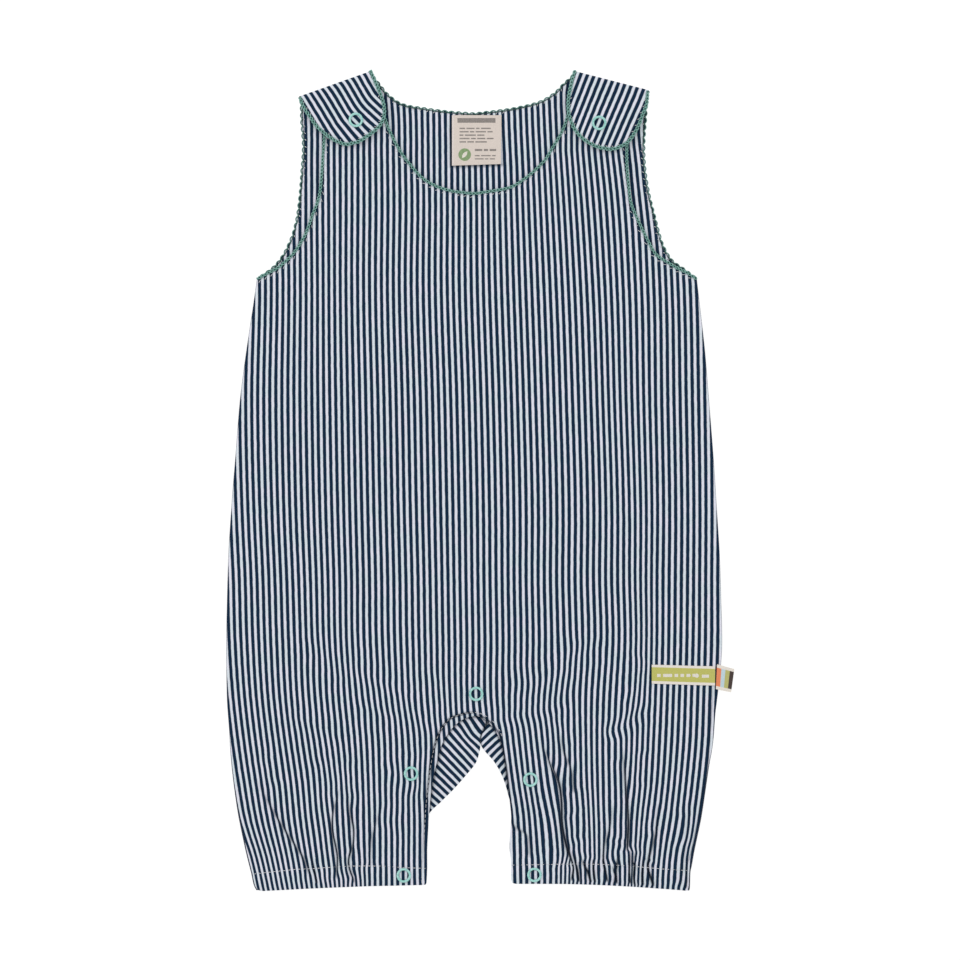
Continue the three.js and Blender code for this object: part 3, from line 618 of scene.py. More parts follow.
def crease_effect(points, creases):
    """What creases do at each place: height, stripes tucked away before it, and painted shade."""
    height = np.zeros(len(points))
    tucked = np.zeros(len(points))
    dark = np.zeros(len(points))
    for depth, half_width, tuck, line in creases:
        across, along = across_line(points, line)
        fade = between_ends(along, CREASE_ENDS)
        near = across / half_width
        rolls = sum(rise * beside(near - place, ROLL_WIDTH) for place, rise in CREASE_ROLLS)
        height += depth * fade * (rolls - beside(FLOOR_STEEPNESS * near, 1))
        slip = np.tanh(SLIP * near) - np.clip(across / TUCK_SPREAD, -1, 1)
        tucked += tuck * fade * slip / 2
        tucked -= drawn_along(along, line, half_width) * (fade * beside(near, FOLLOW_REACH))
        wave = np.sin(SIDE_SHADE["waves"] * along + line[0][0])
        uneven = SIDE_SHADE["mean"] + SIDE_SHADE["swing"] * wave
        # Painted shade: dark on the crease's floor, weaker and uneven on its sides
        floor = min(FLOOR_SHADE["darkness"] * depth, 1) * beside(near, FLOOR_SHADE["width"])
        sides = SIDE_SHADE["darkness"] * min(depth, 1) * uneven * beside(near, SIDE_SHADE["width"])
        dark = np.maximum(dark, np.sqrt(fade) * np.minimum(floor + sides, DARKEST))
    return height, tucked, dark


def swerve_effect(points):
    """Sway of the stripes to the right over soft folds, in millimetres."""
    sway = np.zeros(len(points))
    for shift, half_width, line in SWERVES:
        across, along = across_line(points, line)
        sway += shift * between_ends(along, SWERVE_ENDS) * beside(across, half_width)
    return sway


def edge_shade(points, shades):
    """Painted shade along edges that lie close on what is below."""
    dark = np.zeros(len(points))
    for darkness, half_width, line in shades:
        across, along = across_line(points, line)
        shade = darkness * between_ends(along, SHADE_ENDS) * beside(across, half_width)
        dark = np.maximum(dark, shade)
    return dark


def activate(piece):
    """Makes a piece the only one selected, and the active one."""
    bpy.ops.object.select_all(action="DESELECT")
    bpy.context.view_layer.objects.active = piece
    piece.select_set(True)


def cloth_object(name, places, faces, stripes, along, painted_shade=None, material=JERSEY):
    """A sheet of cloth with its map and, on jersey, its point attribute of painted shade, not
    thickened yet.
    """
    mesh = bpy.data.meshes.new(name)
    mesh.from_pydata(to_frame(places), [], faces)
    corner = np.zeros(len(mesh.loops), np.int32)
    mesh.loops.foreach_get("vertex_index", corner)
    cloth_map = mesh.uv_layers.new(name="cloth")
    cloth_map.data.foreach_set("uv", np.column_stack([stripes, along])[corner].ravel())
    if painted_shade is not None:
        mesh.attributes.new("painted_shade", "FLOAT", "POINT").data.foreach_set("value", painted_shade)
    piece = bpy.data.objects.new(name, mesh)
    bpy.context.scene.collection.objects.link(piece)
    mesh.materials.append(material)
    return piece


def thicken(piece, thickness, fullness=None):
    """Gives a sheet its thickness, inward, thinner where fullness is under 1, and smooths it."""
    solidify = piece.modifiers.new("thickness", "SOLIDIFY")
    solidify.thickness = thickness * MM
    solidify.offset = -1
    if fullness is not None:
        group = piece.vertex_groups.new(name="fullness")
        for i, weight in enumerate(fullness):
            group.add([i], float(weight), "REPLACE")
        solidify.vertex_group = "fullness"
    activate(piece)
    bpy.ops.object.modifier_apply(modifier="thickness")
    bpy.ops.object.shade_smooth_by_angle(angle=math.radians(50))


def edge_fullness(flat, outline):
    """Share of the cloth's thickness near its cut edge, where the knit rounds off."""
    inward = np.clip(distance_from(flat, outline) / EDGE_STEP, 0, 1)
    return EDGE_THINNING + (1 - EDGE_THINNING) * np.sqrt(1 - (1 - inward) ** 2)


front_sheet = chosen_faces("front", lambda normal, centre: normal.z > LOOKS_UP)
front_outline = smooth_outline(rounded(outline_of(front_sheet), HEM_ROUNDING), EDGE_STEP)
front_height = soft_height(front_sheet, FACET_BLUR)
front_creases = [
    (depth, half_width, tuck, through_points(line, COURSE_STEPS))
    for depth, half_width, tuck, line in (*CREASES, *PLEATS)
]
front_shades = [
    (darkness, half_width, through_points(line, COURSE_STEPS))
    for darkness, half_width, line in EDGE_SHADES
]


def front_level(points):
    """How fine the front's cloth is: 3 in deep creases and shaded edges, 2 and 1 beside them."""
    level = np.zeros(len(points), int)
    for line in HEM_STITCH.values():
        level[away_from(points, line, FINE_NEAR["stitches"]) < FINE_NEAR["stitches"]] = 1
    for depth, _, _, line in front_creases:
        away = away_from(points, line, FINE_NEAR["around"])
        for least, reach in ((1, FINE_NEAR["around"]), (2, FINE_NEAR["side"])):
            level[away < reach] = np.maximum(level[away < reach], least)
        if depth > DEEP_CREASE:
            level[away < FINE_NEAR["floor"]] = 3
    for _, _, line in front_shades:
        level[away_from(points, line, FINE_NEAR["shade"]) < FINE_NEAR["shade"]] = 3
    return level


flat, faces = cut_cloth(front_outline, MESH_STEP, front_level)
fold_height, tucked, dark = crease_effect(flat, front_creases)
dark = np.maximum(dark, edge_shade(flat, front_shades))
groove = np.zeros(len(flat))
for line in HEM_STITCH.values():
    across = across_line(flat, line)[0]
    groove += STITCH_GROOVE["depth"] * beside(across, STITCH_GROOVE["half_width"])
fullness = edge_fullness(flat, front_outline)
inward = distance_from(flat, front_outline)
fold_height *= ease(inward / FOLD_RIM["reach"] + FOLD_RIM["start"])
top = front_height(flat) + fold_height - groove
sway = swerve_effect(flat)
top += SWERVE_LIFT * sway
swayed = flat - np.column_stack([sway, np.zeros(len(flat))])
stripes = stripe_count(swayed, FRONT_GRAIN, FRONT_STRIPES) + tucked
places = np.column_stack([flat, top - CLOTH * (1 - fullness)])
front = cloth_object("front_panel", places, faces, stripes, flat[:, 1] / STRIPE_PITCH, dark)
thicken(front, CLOTH, fullness)
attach(front, "root")
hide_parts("front")


# Back: one cut of jersey that lies flat on the table, with both legs and the two shoulder tabs.
# Each tab turns over its fold line at the shoulder and lies on the front, outer face up.
BACK_STEP = 3.6
FOLD_RADIUS = 2.1
FOLD_LINES = {
    "left": ((-111.2, 236.8), (-67.8, 252.2)),
    "right": ((58.3, 252.2), (103.2, 240.6)),
}
TAB_TOP = 4.2
TAB_BLUR = 2.0
# Past the fold a tab comes down to its own height over this much cloth
TAB_SETTLING = 3
ARMPITS = {"left": (-138.5, 125), "right": (134, 125)}
# The edging draws the back's cut edge into small scallops
SCALLOP = {"pitch": 4.3, "rise": 1.0, "dip": 0.2, "step": 0.55}
# How the stripes of the back run, in the same way as the front's, over its whole cut
BACK_STRIPES = (-30, -24, -18, -12, 0, 10, 22, 28, 34, 40)
BACK_GRAIN = (
    (290.0, (-137.5, -115.5, -88.0, -63.6, -21.9, 13.5, 64.6, 87.2, 110.3, 133.4)),
    (276.0, (-136.5, -114.2, -90.0, -66.8, -21.9, 13.5, 62.4, 85.5, 109.0, 132.2)),
    (270.0, (-136.0, -113.7, -90.5, -67.6, -21.9, 13.5, 61.5, 84.8, 108.4, 131.7)),
    (262.0, (-135.0, -112.6, -89.5, -66.6, -21.9, 13.5, 60.3, 83.9, 107.7, 131.0)),
    (254.0, (-133.8, -111.4, -88.3, -65.2, -21.9, 13.5, 59.1, 83.0, 107.0, 130.4)),
    (240.0, (-131.4, -109.6, -88.0, -66.4, -21.9, 13.6, 57.3, 80.6, 105.0, 128.4)),
    (225.0, (-130.3, -108.6, -86.9, -65.2, -21.8, 13.9, 57.8, 79.9, 102.0, 124.2)),
    (192.8, (-130.2, -108.4, -86.7, -65.0, -21.5, 15.2, 59.8, 82.1, 104.4, 127.0)),
    (143.2, (-130.2, -108.4, -86.7, -65.0, -21.5, 16.5, 63.1, 86.4, 109.8, 132.5)),
    (0.0, (-131.0, -109.0, -87.1, -65.3, -21.5, 16.5, 63.1, 86.4, 109.8, 133.5)),
    (-150.0, (-127.0, -106.0, -84.8, -63.5, -21.0, 15.5, 62.1, 85.4, 108.7, 131.5)),
    (-260.0, (-112.0, -94.0, -74.2, -54.5, -15.0, 20.0, 59.8, 79.7, 99.2, 118.0)),
)


class Fold:
    """A shoulder's fold line: cloth past it turns over and comes back down, upside down."""

    def __init__(self, ends):
        self.start = np.array(ends[0])
        along = np.array(ends[1]) - self.start
        self.outward = np.array([-along[1], along[0]]) / np.linalg.norm(along)
        self.arc = math.pi * FOLD_RADIUS

    def past(self, points):
        """How far each point of the cut lies past the fold line."""
        return (points - self.start) @ self.outward

    def unfolded(self, tab):
        """Places on the cut of points on the tab as it lies."""
        return tab + (self.arc - 2 * self.past(tab))[:, None] * self.outward

    def laid(self, points, height_at):
        """Where points of the cut past the fold line come to lie."""
        past = self.past(points)
        angle = np.clip(past / FOLD_RADIUS, 0, math.pi)
        beyond = np.maximum(past - self.arc, 0)
        reach = FOLD_RADIUS * np.sin(angle) - beyond
        plan = points + (reach - past)[:, None] * self.outward
        height = FOLD_RADIUS * (1 - np.cos(angle))
        lift = (height_at(plan) - TAB_TOP) * ease(beyond / TAB_SETTLING)
        return np.column_stack([plan, height + lift])


folds = {side: Fold(ends) for side, ends in FOLD_LINES.items()}


def run_of(outline, start, end):
    """Stretch of an outline, anticlockwise from the corner nearest start to the one nearest end."""
    first = nearest_corner(outline, start)
    turned = np.roll(outline, -first, axis=0)
    return turned[: nearest_corner(turned, end) + 1]


# The underside, which lies on the table, and the top of both tabs
back_sheet = chosen_faces("back", lambda normal, centre: normal.z < -0.9 and centre.z < 0.1)
tab_sheet = chosen_faces(
    "back", lambda normal, centre: normal.z > LOOKS_UP and centre.z > TAB_TOP - 0.05
)
tab_height = soft_height(tab_sheet, TAB_BLUR)


def tab_outline(side):
    """Outline of one tab as it lies."""
    half = tab_sheet.copy()
    wrong = [face for face in half.faces if (face.calc_center_median().x < 0) != (side == "left")]
    bmesh.ops.delete(half, geom=wrong, context="FACES")
    return outline_of(half)


def back_cut():
    """Outline of the back as it was cut, with the tabs unfolded."""
    outline = outline_of(back_sheet)
    for side, (left_end, right_end) in FOLD_LINES.items():
        rest = run_of(outline, left_end, right_end)
        tab = run_of(tab_outline(side), left_end, right_end)
        outline = np.vstack([rest, folds[side].unfolded(tab[::-1])])
    return outline


def evenly(course, step):
    """Points at an even step along a course."""
    run = np.concatenate([[0], np.cumsum(np.linalg.norm(np.diff(course, axis=0), axis=1))])
    at = np.linspace(0, run[-1], max(2, int(run[-1] / step)))
    return np.column_stack([np.interp(at, run, axis) for axis in course.T]), at


def outward_of(course):
    """Unit steps out of the cloth at points of an anticlockwise course."""
    ahead = np.gradient(course, axis=0)
    outward = np.column_stack([ahead[:, 1], -ahead[:, 0]])
    return outward / np.linalg.norm(outward, axis=1)[:, None]


def scalloped(outline, start, end):
    """The outline with the small scallops into which its edging draws it, from start to end."""
    course, at = evenly(run_of(outline, start, end), SCALLOP["step"])
    out = SCALLOP["rise"] * np.abs(np.sin(math.pi * at / SCALLOP["pitch"])) - SCALLOP["dip"]
    return np.vstack([course + out[:, None] * outward_of(course), run_of(outline, end, start)[1:-1]])


back_outline = smooth_outline(back_cut(), EDGE_STEP)
back_edge = scalloped(back_outline, ARMPITS["right"], ARMPITS["left"])


def on_side(points, side):
    """Which points lie on the given side of the garment's middle."""
    return (points[:, 0] < 0) == (side == "left")


def laid_back(points):
    """Where points of the back's cut come to lie: the flat part on the table, the tabs folded."""
    places = np.column_stack([points, np.zeros(len(points))])
    for side, fold in folds.items():
        here = (fold.past(points) > 0) & on_side(points, side)
        places[here] = fold.laid(points[here], tab_height)
    return places


# Painted shade at the neck label's left and lower edges, in the same columns as the front's shades
LABEL_SHADE = (
    (0.6, 1.0, ((-18.3, 232), (-18.4, 215), (-18.2, 195.2), (0, 195.6), (18, 196.4))),
)
# The back's cloth is finer up to these distances from the label's shade, a fold and its edge
BACK_FINE = {"shade": 2.5, "fold": 2, "edge": 4}


def back_level(points):
    """How fine the back's cloth is: 2 at the folds and the label, 1 on the tabs and at the edge."""
    level = np.zeros(len(points), int)
    for _, _, line in LABEL_SHADE:
        level[away_from(points, line, BACK_FINE["shade"]) < BACK_FINE["shade"]] = 2
    for side, fold in folds.items():
        past = fold.past(points)
        here = on_side(points, side)
        folded = fold.arc + BACK_FINE["fold"]
        level[here & (past > -BACK_FINE["fold"]) & (past < folded)] = 2
        level[here & (past >= folded)] = 1
    level[(level == 0) & (distance_from(points, back_edge) < BACK_FINE["edge"])] = 1
    return level


flat, faces = cut_cloth(back_edge, BACK_STEP, back_level)
places = laid_back(flat)
fullness = edge_fullness(flat, back_edge)
on_tab = places[:, 2] > TAB_TOP - 0.3
places[:, 2] -= np.where(on_tab, CLOTH * (1 - fullness), 0)
stripes = stripe_count(flat, BACK_GRAIN, BACK_STRIPES)
dark = edge_shade(flat, LABEL_SHADE)
back = cloth_object("back_panel", places, faces[:, ::-1], stripes, flat[:, 1] / STRIPE_PITCH, dark)
thicken(back, CLOTH, fullness)
# The label throws its shade on the inner face only, not through to the outer one
outer_shade = back.data.attributes["painted_shade"].data[: len(flat)]
for point in outer_shade:
    point.value = 0
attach(back, "root")
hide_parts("back")


# Placket bands: a doubled strip of jersey on the inside leg of the back, cut across the stripes,
# one on each side of a centre seam. The front's inside leg snaps onto them.
BAND_CLOTH = 1.0
BAND_TOP = 2.5
BAND_STEPS = {"along": 14, "across": 44}
# Free edge, which shows, and hidden edge, which is sewn to the back: x and y of each, hem first
BANDS = {
    "left_placket_band": (
        (-37.0, -248.0, -58.5, -249.5),
        (-36.5, -238.0, -58.0, -238.0),
        (-36.0, -227.0, -57.5, -220.0),
        (-33.0, -208.5, -55.5, -197.0),
        (-24.0, -198.5, -51.0, -183.0),
        (-16.5, -191.0, -46.0, -170.0),
        (-9.0, -182.5, -39.0, -158.0),
        (-3.0, -175.0, -30.5, -146.0),
        (-0.7, -168.0, -22.0, -137.0),
        (-0.1, -164.0, -16.0, -131.0),
        (-0.2, -160.0, -11.0, -127.0),
        (0.7, -156.3, -6.5, -124.0),
        (2.7, -152.2, -2.0, -122.0),
        (4.0, -140.0, 3.0, -121.0),
    ),
    "right_placket_band": (
        (23.0, -248.0, 45.0, -249.0),
        (23.0, -238.0, 44.5, -238.0),
        (22.5, -227.0, 44.0, -219.0),
        (21.0, -210.0, 42.0, -198.0),
        (17.0, -194.0, 37.5, -176.0),
        (15.0, -187.0, 34.0, -166.0),
        (12.0, -180.0, 29.5, -156.0),
        (8.0, -173.5, 24.5, -147.0),
        (3.5, -168.5, 20.5, -140.0),
        (0.4, -164.0, 17.5, -136.5),
        (0.2, -160.0, 15.5, -134.0),
        (1.1, -156.3, 14.0, -132.0),
        (3.1, -152.2, 12.0, -128.0),
        (4.8, -147.5, 9.0, -124.0),
    ),
}

# How the stripes of each band run: direction of rise, and how they fan out and curve round a centre
BAND_GRAIN = {
    "left_placket_band": {
        "centre": (-18, -175), "rise": -46, "pitch": 3.85, "fan": 0.003, "curve": 0.0
    },
    "right_placket_band": {
        "centre": (9, -163), "rise": 42, "pitch": 3.8, "fan": 0.004, "curve": 0.012
    },
}
# The bands meet at the centre seam, which pulls the stripes down a little on its left
CENTRE_SEAM = ((1.5, -170), (0.3, -163.7), (0.0, -159.3), (0.8, -156.2), (2.8, -152.2), (6, -148))
SEAM_SAG = {"place": (-4.7, -157.0), "reach": 6.0, "sag": 2.0}
# Painted shade along the centre seam and beside the front's edge, which lies over the bands
SEAM_SHADE = {"darkness": 0.9, "half_width": 0.6}
FRONT_SHADE = {"darkness": 0.85, "half_width": 0.9}


def grid_faces(rows, columns):
    """Faces of a grid of points that are numbered row by row."""
    number = np.arange(rows * columns).reshape(rows, columns)
    corners = [number[:-1, :-1], number[:-1, 1:], number[1:, 1:], number[1:, :-1]]
    return np.stack(corners, axis=-1).reshape(-1, 4)


def band_stripes(plan, centre, rise, pitch, fan, curve):
    """Stripe number over a band, and the run along its stripes in the same unit."""
    angle = math.radians(rise)
    offset = plan - np.array(centre)
    from_dip = (plan - np.array(SEAM_SAG["place"])) / SEAM_SAG["reach"]
    offset[:, 1] += SEAM_SAG["sag"] * np.exp(-(from_dip**2).sum(1))
    across = offset @ np.array([-math.sin(angle), math.cos(angle)])
    along = offset @ np.array([math.cos(angle), math.sin(angle)])
    return (across * (1 + fan * along) + curve * along**2 / 2) / pitch, along / pitch


for name, sections in BANDS.items():
    sections = through_points(sections, BAND_STEPS["along"])
    free, hidden = sections[:, :2], sections[:, 2:]
    shares = np.linspace(0, 1, BAND_STEPS["across"] + 1)
    plan = free[:, None] * (1 - shares[None, :, None]) + hidden[:, None] * shares[None, :, None]
    quads = grid_faces(*plan.shape[:2])
    if name.startswith("left"):
        quads = quads[:, ::-1]
    plan = plan.reshape(-1, 2)
    places = np.column_stack([plan, np.full(len(plan), BAND_TOP)])
    stripes, along = band_stripes(plan, **BAND_GRAIN[name])
    at_seam = beside(across_line(plan, CENTRE_SEAM)[0], SEAM_SHADE["half_width"])
    at_front = beside(distance_from(plan, front_outline), FRONT_SHADE["half_width"])
    shade = np.maximum(SEAM_SHADE["darkness"] * at_seam, FRONT_SHADE["darkness"] * at_front)
    band = cloth_object(name + "_cloth", places, quads, stripes, along, shade)
    thicken(band, BAND_CLOTH)
    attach(band, "root")
    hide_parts(name)


# Snaps: seven open ring snaps. The front of each is a mint ring of enamelled metal, clamped to
# the upper layer of cloth. The stud that it closes on sits below, in the lower layer.
SNAP_NAMES = (
    "left_shoulder", "right_shoulder", "crotch", "left_knee", "right_knee", "left_hem", "right_hem"
)
# Radii of the ring's middle line and of its section, and the middle's height over its solid's base
RING_RADIUS = 3.78
RING_BAND = 0.74
RING_SINK = 0.35
RING_STEPS = {"section": 14, "round": 56}
MINT = (0.270, 0.620, 0.560, 1)
PALE_MINT = (0.410, 0.740, 0.690, 1)
DARK_STEEL = (0.42, 0.43, 0.44, 1)
BRIGHT_STEEL = (0.62, 0.63, 0.64, 1)


def ring_material():
    """Glossy enamel that has pooled a little unevenly."""
    material, tree, shader = new_material("mint enamel")
    pooled = noise(tree, object_place(tree), 900.0, 2.0)
    colour = blend_colours(tree, remap(tree, pooled, 0.35, 0.65), MINT, PALE_MINT)
    tree.links.new(colour, shader.inputs["Base Color"])
    tree.links.new(remap(tree, pooled, 0.3, 0.7, 0.24, 0.34), shader.inputs["Roughness"])
    shader.inputs["Coat Weight"].default_value = 0.4
    shader.inputs["Coat Roughness"].default_value = 0.1
    return material


def stud_material():
    """Plain stamped steel with a fine grain."""
    material, tree, shader = new_material("stud metal")
    grain = noise(tree, object_place(tree), 2200.0, 3.0)
    colour = blend_colours(tree, remap(tree, grain, 0.3, 0.7), DARK_STEEL, BRIGHT_STEEL)
    tree.links.new(colour, shader.inputs["Base Color"])
    tree.links.new(remap(tree, grain, 0.3, 0.7, 0.28, 0.42), shader.inputs["Roughness"])
    shader.inputs["Metallic"].default_value = 1.0
    return material


def model_ring(centre, seat):
    """One ring, spun from a round section, at its place in the frame."""
    bpy.ops.object.select_all(action="DESELECT")
    bpy.ops.mesh.primitive_circle_add(
        vertices=RING_STEPS["section"],
        radius=RING_BAND * MM,
        location=(centre.x + RING_RADIUS * MM, centre.y, seat),
        rotation=(math.pi / 2, 0, 0),
    )
    ring = bpy.context.object
    bpy.ops.object.transform_apply(location=True, rotation=True, scale=True)
    bpy.ops.object.mode_set(mode="EDIT")
    bpy.ops.mesh.select_all(action="SELECT")
    bpy.ops.mesh.spin(
        steps=RING_STEPS["round"],
        angle=2 * math.pi,
        center=(centre.x, centre.y, seat),
        axis=(0, 0, 1),
    )
    bpy.ops.mesh.select_all(action="SELECT")
    bpy.ops.mesh.remove_doubles(threshold=0.01 * MM)
    bpy.ops.mesh.normals_make_consistent(inside=False)
    bpy.ops.object.mode_set(mode="OBJECT")
    return ring


ring_enamel = ring_material()
stud_metal = stud_material()
# The first ring is modelled, and the others are copies of it
first_ring = None
for name in SNAP_NAMES:
    low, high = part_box(name + "_snap_ring")
    centre = (low + high) / 2
    seat = low.z + RING_SINK * MM
    if first_ring is None:
        ring = model_ring(centre, seat)
        first_ring, first_place = ring, Vector((centre.x, centre.y, seat))
        ring.data.materials.append(ring_enamel)
    else:
        ring = first_ring.copy()
        ring.data = first_ring.data.copy()
        bpy.context.scene.collection.objects.link(ring)
        shift = Vector((centre.x, centre.y, seat)) - first_place
        for vertex in ring.data.vertices:
            vertex.co += shift
    ring.name = name + "_ring"
    activate(ring)
    bpy.ops.object.shade_smooth()
    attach(ring, "root")
    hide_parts(name + "_snap_ring")
    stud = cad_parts[name + "_snap_stud"]
    stud.data.materials.clear()
    stud.data.materials.append(stud_metal)


# Picot edging: two teal elastic threads that an overlock lays over the cut edge in small
# scallops, at the front neck and armholes, and along the back's armholes, tabs and neck.
THREAD_STEP = 0.42
THREAD_SIDES = 6
# How far inside an edge the cloth's slope is taken
EDGE_PROBE = 0.5
# Two threads and a near-black tube between them, which is painted shadow under the threads: how
# far each lies out of the edge and over the cloth, how far it swings out and waves up and down,
# its turn at the start, and its radius
FRONT_THREADS = (
    {"out": 0.3, "swing": 0.75, "lift": 0.85, "wave": 0.2, "turn": 0.0, "radius": 0.31},
    {"out": 0.3, "swing": 0.75, "lift": 0.85, "wave": 0.2, "turn": math.pi, "radius": 0.31},
)
FRONT_SHADOW_CORE = {"out": 0.25, "swing": 0.1, "lift": 0.35, "wave": 0.0, "turn": 0.0, "radius": 0.6}
# The tabs lie upside down, so their threads lie below the back's inner face
TAB_THREADS = (
    {"out": 0.45, "swing": 0.85, "lift": -0.75, "wave": 0.3, "turn": 0.6, "radius": 0.38},
    {"out": 0.45, "swing": 0.85, "lift": -0.75, "wave": 0.3, "turn": 0.6 + math.pi, "radius": 0.38},
)
TAB_SHADOW_CORE = {"out": 0.3, "swing": 0.1, "lift": -0.15, "wave": 0.0, "turn": 0.0, "radius": 0.7}
BACK_THREAD = {"out": 0.05, "swing": 1.05, "lift": 0.35, "radius": 0.37}
BACK_SHADOW_CORE = {"out": -0.2, "swing": 0.0, "lift": 0.3, "radius": 0.32}


def thread_material(name, dark, light):
    """Twisted thread: plies that wind round it, from a map round and along the thread."""
    material, tree, shader = new_material(name)
    uv, place = own_map(tree, "thread")
    wound = calc(tree, "MULTIPLY_ADD", place["Y"], 0.35, place["X"])
    ply = calc(tree, "MULTIPLY", calc(tree, "PINGPONG", calc(tree, "MULTIPLY", wound, 2.0), 0.5), 2.0)
    fuzz = noise(tree, uv, 1.4, 3.0)
    # Painted shade and highlight: each ply runs from the dark colour in its groove to the light one
    # on its crest
    shade = calc(tree, "MULTIPLY_ADD", fuzz, 0.9, calc(tree, "MULTIPLY_ADD", ply, 0.8, -0.4))
    share = put(tree, "ShaderNodeClamp", {"Value": shade}).outputs[0]
    colour = blend_colours(tree, share, dark, light)
    tree.links.new(colour, shader.inputs["Base Color"])
    bumped(tree, shader, ply, 0.6, 0.1 * MM)
    shader.inputs["Roughness"].default_value = 0.75
    shader.inputs["Sheen Weight"].default_value = 0.15
    return material


def tube(path, radius, sides):
    """A round thread along a path: points, faces and map."""
    path = np.asarray(path, float)
    tangent = np.gradient(path, axis=0)
    tangent /= np.linalg.norm(tangent, axis=1)[:, None]
    # The way to the thread's side is carried along the path, so that the tube doesn't twist
    side = np.cross(tangent[0], (0.0, 0.3, 1.0))
    frames = []
    for direction in tangent:
        side = side - direction * (side @ direction)
        side = side / np.linalg.norm(side)
        frames.append(side)
    side = np.array(frames)
    up = np.cross(tangent, side)
    angle = 2 * math.pi * np.arange(sides) / sides
    ring = np.cos(angle)[None, :, None] * side[:, None] + np.sin(angle)[None, :, None] * up[:, None]
    points = (path[:, None] + radius * ring).reshape(-1, 3)
    run = np.concatenate([[0], np.cumsum(np.linalg.norm(np.diff(path, axis=0), axis=1))])
    faces, maps = [], []
    for i in range(len(path) - 1):
        for j in range(sides):
            after = (j + 1) % sides
            faces.append(
                (i * sides + j, i * sides + after, (i + 1) * sides + after, (i + 1) * sides + j)
            )
            maps += [(j / sides, run[i]), ((j + 1) / sides, run[i])]
            maps += [((j + 1) / sides, run[i + 1]), (j / sides, run[i + 1])]
    last = (len(path) - 1) * sides
    faces.append(tuple(range(sides))[::-1])
    faces.append(tuple(last + j for j in range(sides)))
    maps += [(0.5, 0.0)] * sides + [(0.5, run[-1])] * sides
    return points, faces, maps


def threads_object(name, tubes, material):
    """Several threads joined in one mesh."""
    points, faces, maps = [], [], []
    for tube_points, tube_faces, tube_maps in tubes:
        start = sum(len(part) for part in points)
        points.append(tube_points)
        faces += [tuple(start + i for i in face) for face in tube_faces]
        maps += tube_maps
    mesh = bpy.data.meshes.new(name)
    mesh.from_pydata(to_frame(np.vstack(points)), [], faces)
    mesh.uv_layers.new(name="thread").data.foreach_set("uv", np.array(maps, float).ravel())
    mesh.materials.append(material)
    mesh.polygons.foreach_set("use_smooth", np.ones(len(mesh.polygons), bool))
    piece = bpy.data.objects.new(name, mesh)
    bpy.context.scene.collection.objects.link(piece)
    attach(piece, "root")
    return piece


def edge_frame(course, place_at):
    """Places along an edge in the plan of the cut, with the ways out of the cloth and up."""
    outward = outward_of(course)
    here = place_at(course)
    out = here - place_at(course - EDGE_PROBE * outward)
    out /= np.linalg.norm(out, axis=1)[:, None]
    along = np.gradient(here, axis=0)
    up = np.cross(out, along)
    up /= np.linalg.norm(up, axis=1)[:, None]
    return here, out, up


def braid(course, place_at, threads):
    """Threads that swing in and out over a cut edge and cross at every scallop."""
    course, at = evenly(course, THREAD_STEP)
    here, outward, up = edge_frame(course, place_at)
    tubes = []
    for thread in threads:
        phase = 2 * math.pi * at / SCALLOP["pitch"] + thread["turn"]
        out = thread["out"] + thread["swing"] * np.sin(phase)
        lift = thread["lift"] + thread["wave"] * np.cos(phase)
        path = here + out[:, None] * outward + lift[:, None] * up
        tubes.append(tube(path, thread["radius"], THREAD_SIDES))
    return tubes


def scallop_thread(course, place_at, out, swing, lift, radius):
    """One thread that follows the scallops of a cut edge."""
    course, at = evenly(course, THREAD_STEP)
    here, outward, up = edge_frame(course, place_at)
    arch = np.abs(np.sin(math.pi * at / SCALLOP["pitch"]))
    path = here + (out + swing * arch)[:, None] * outward + lift * up
    return tube(path, radius, THREAD_SIDES)


def front_middle(points):
    """Middle of the front's thickness."""
    return np.column_stack([points, front_height(points) - CLOTH / 2])


def back_middle(points):
    """Middle of the back's thickness at places on its cut."""
    places = laid_back(points)
    for side, fold in folds.items():
        own_side = on_side(points, side)
        here = (fold.past(points) > 0) & own_side
        angle = np.clip(fold.past(points) / FOLD_RADIUS, 0, math.pi)
        places[here, 2] += CLOTH / 2 * np.cos(angle[here])
        places[here, :2] -= (CLOTH / 2 * np.sin(angle[here]))[:, None] * fold.outward
        places[~here & own_side, 2] = CLOTH / 2
    return places


LEFT_STRAP = {"outer": (-95, 234.5), "inner": (-64, 238)}
RIGHT_STRAP = {"outer": (90, 230), "inner": (56, 233.5)}
# Outline that each edging follows, anticlockwise, and the places near its two ends
EDGING_RUNS = {
    "front_neck_edging": (front_outline, RIGHT_STRAP["inner"], LEFT_STRAP["inner"]),
    "front_left_armhole_edging": (front_outline, LEFT_STRAP["outer"], ARMPITS["left"]),
    "front_right_armhole_edging": (front_outline, ARMPITS["right"], RIGHT_STRAP["outer"]),
    "back_edging": (back_outline, ARMPITS["right"], ARMPITS["left"]),
}
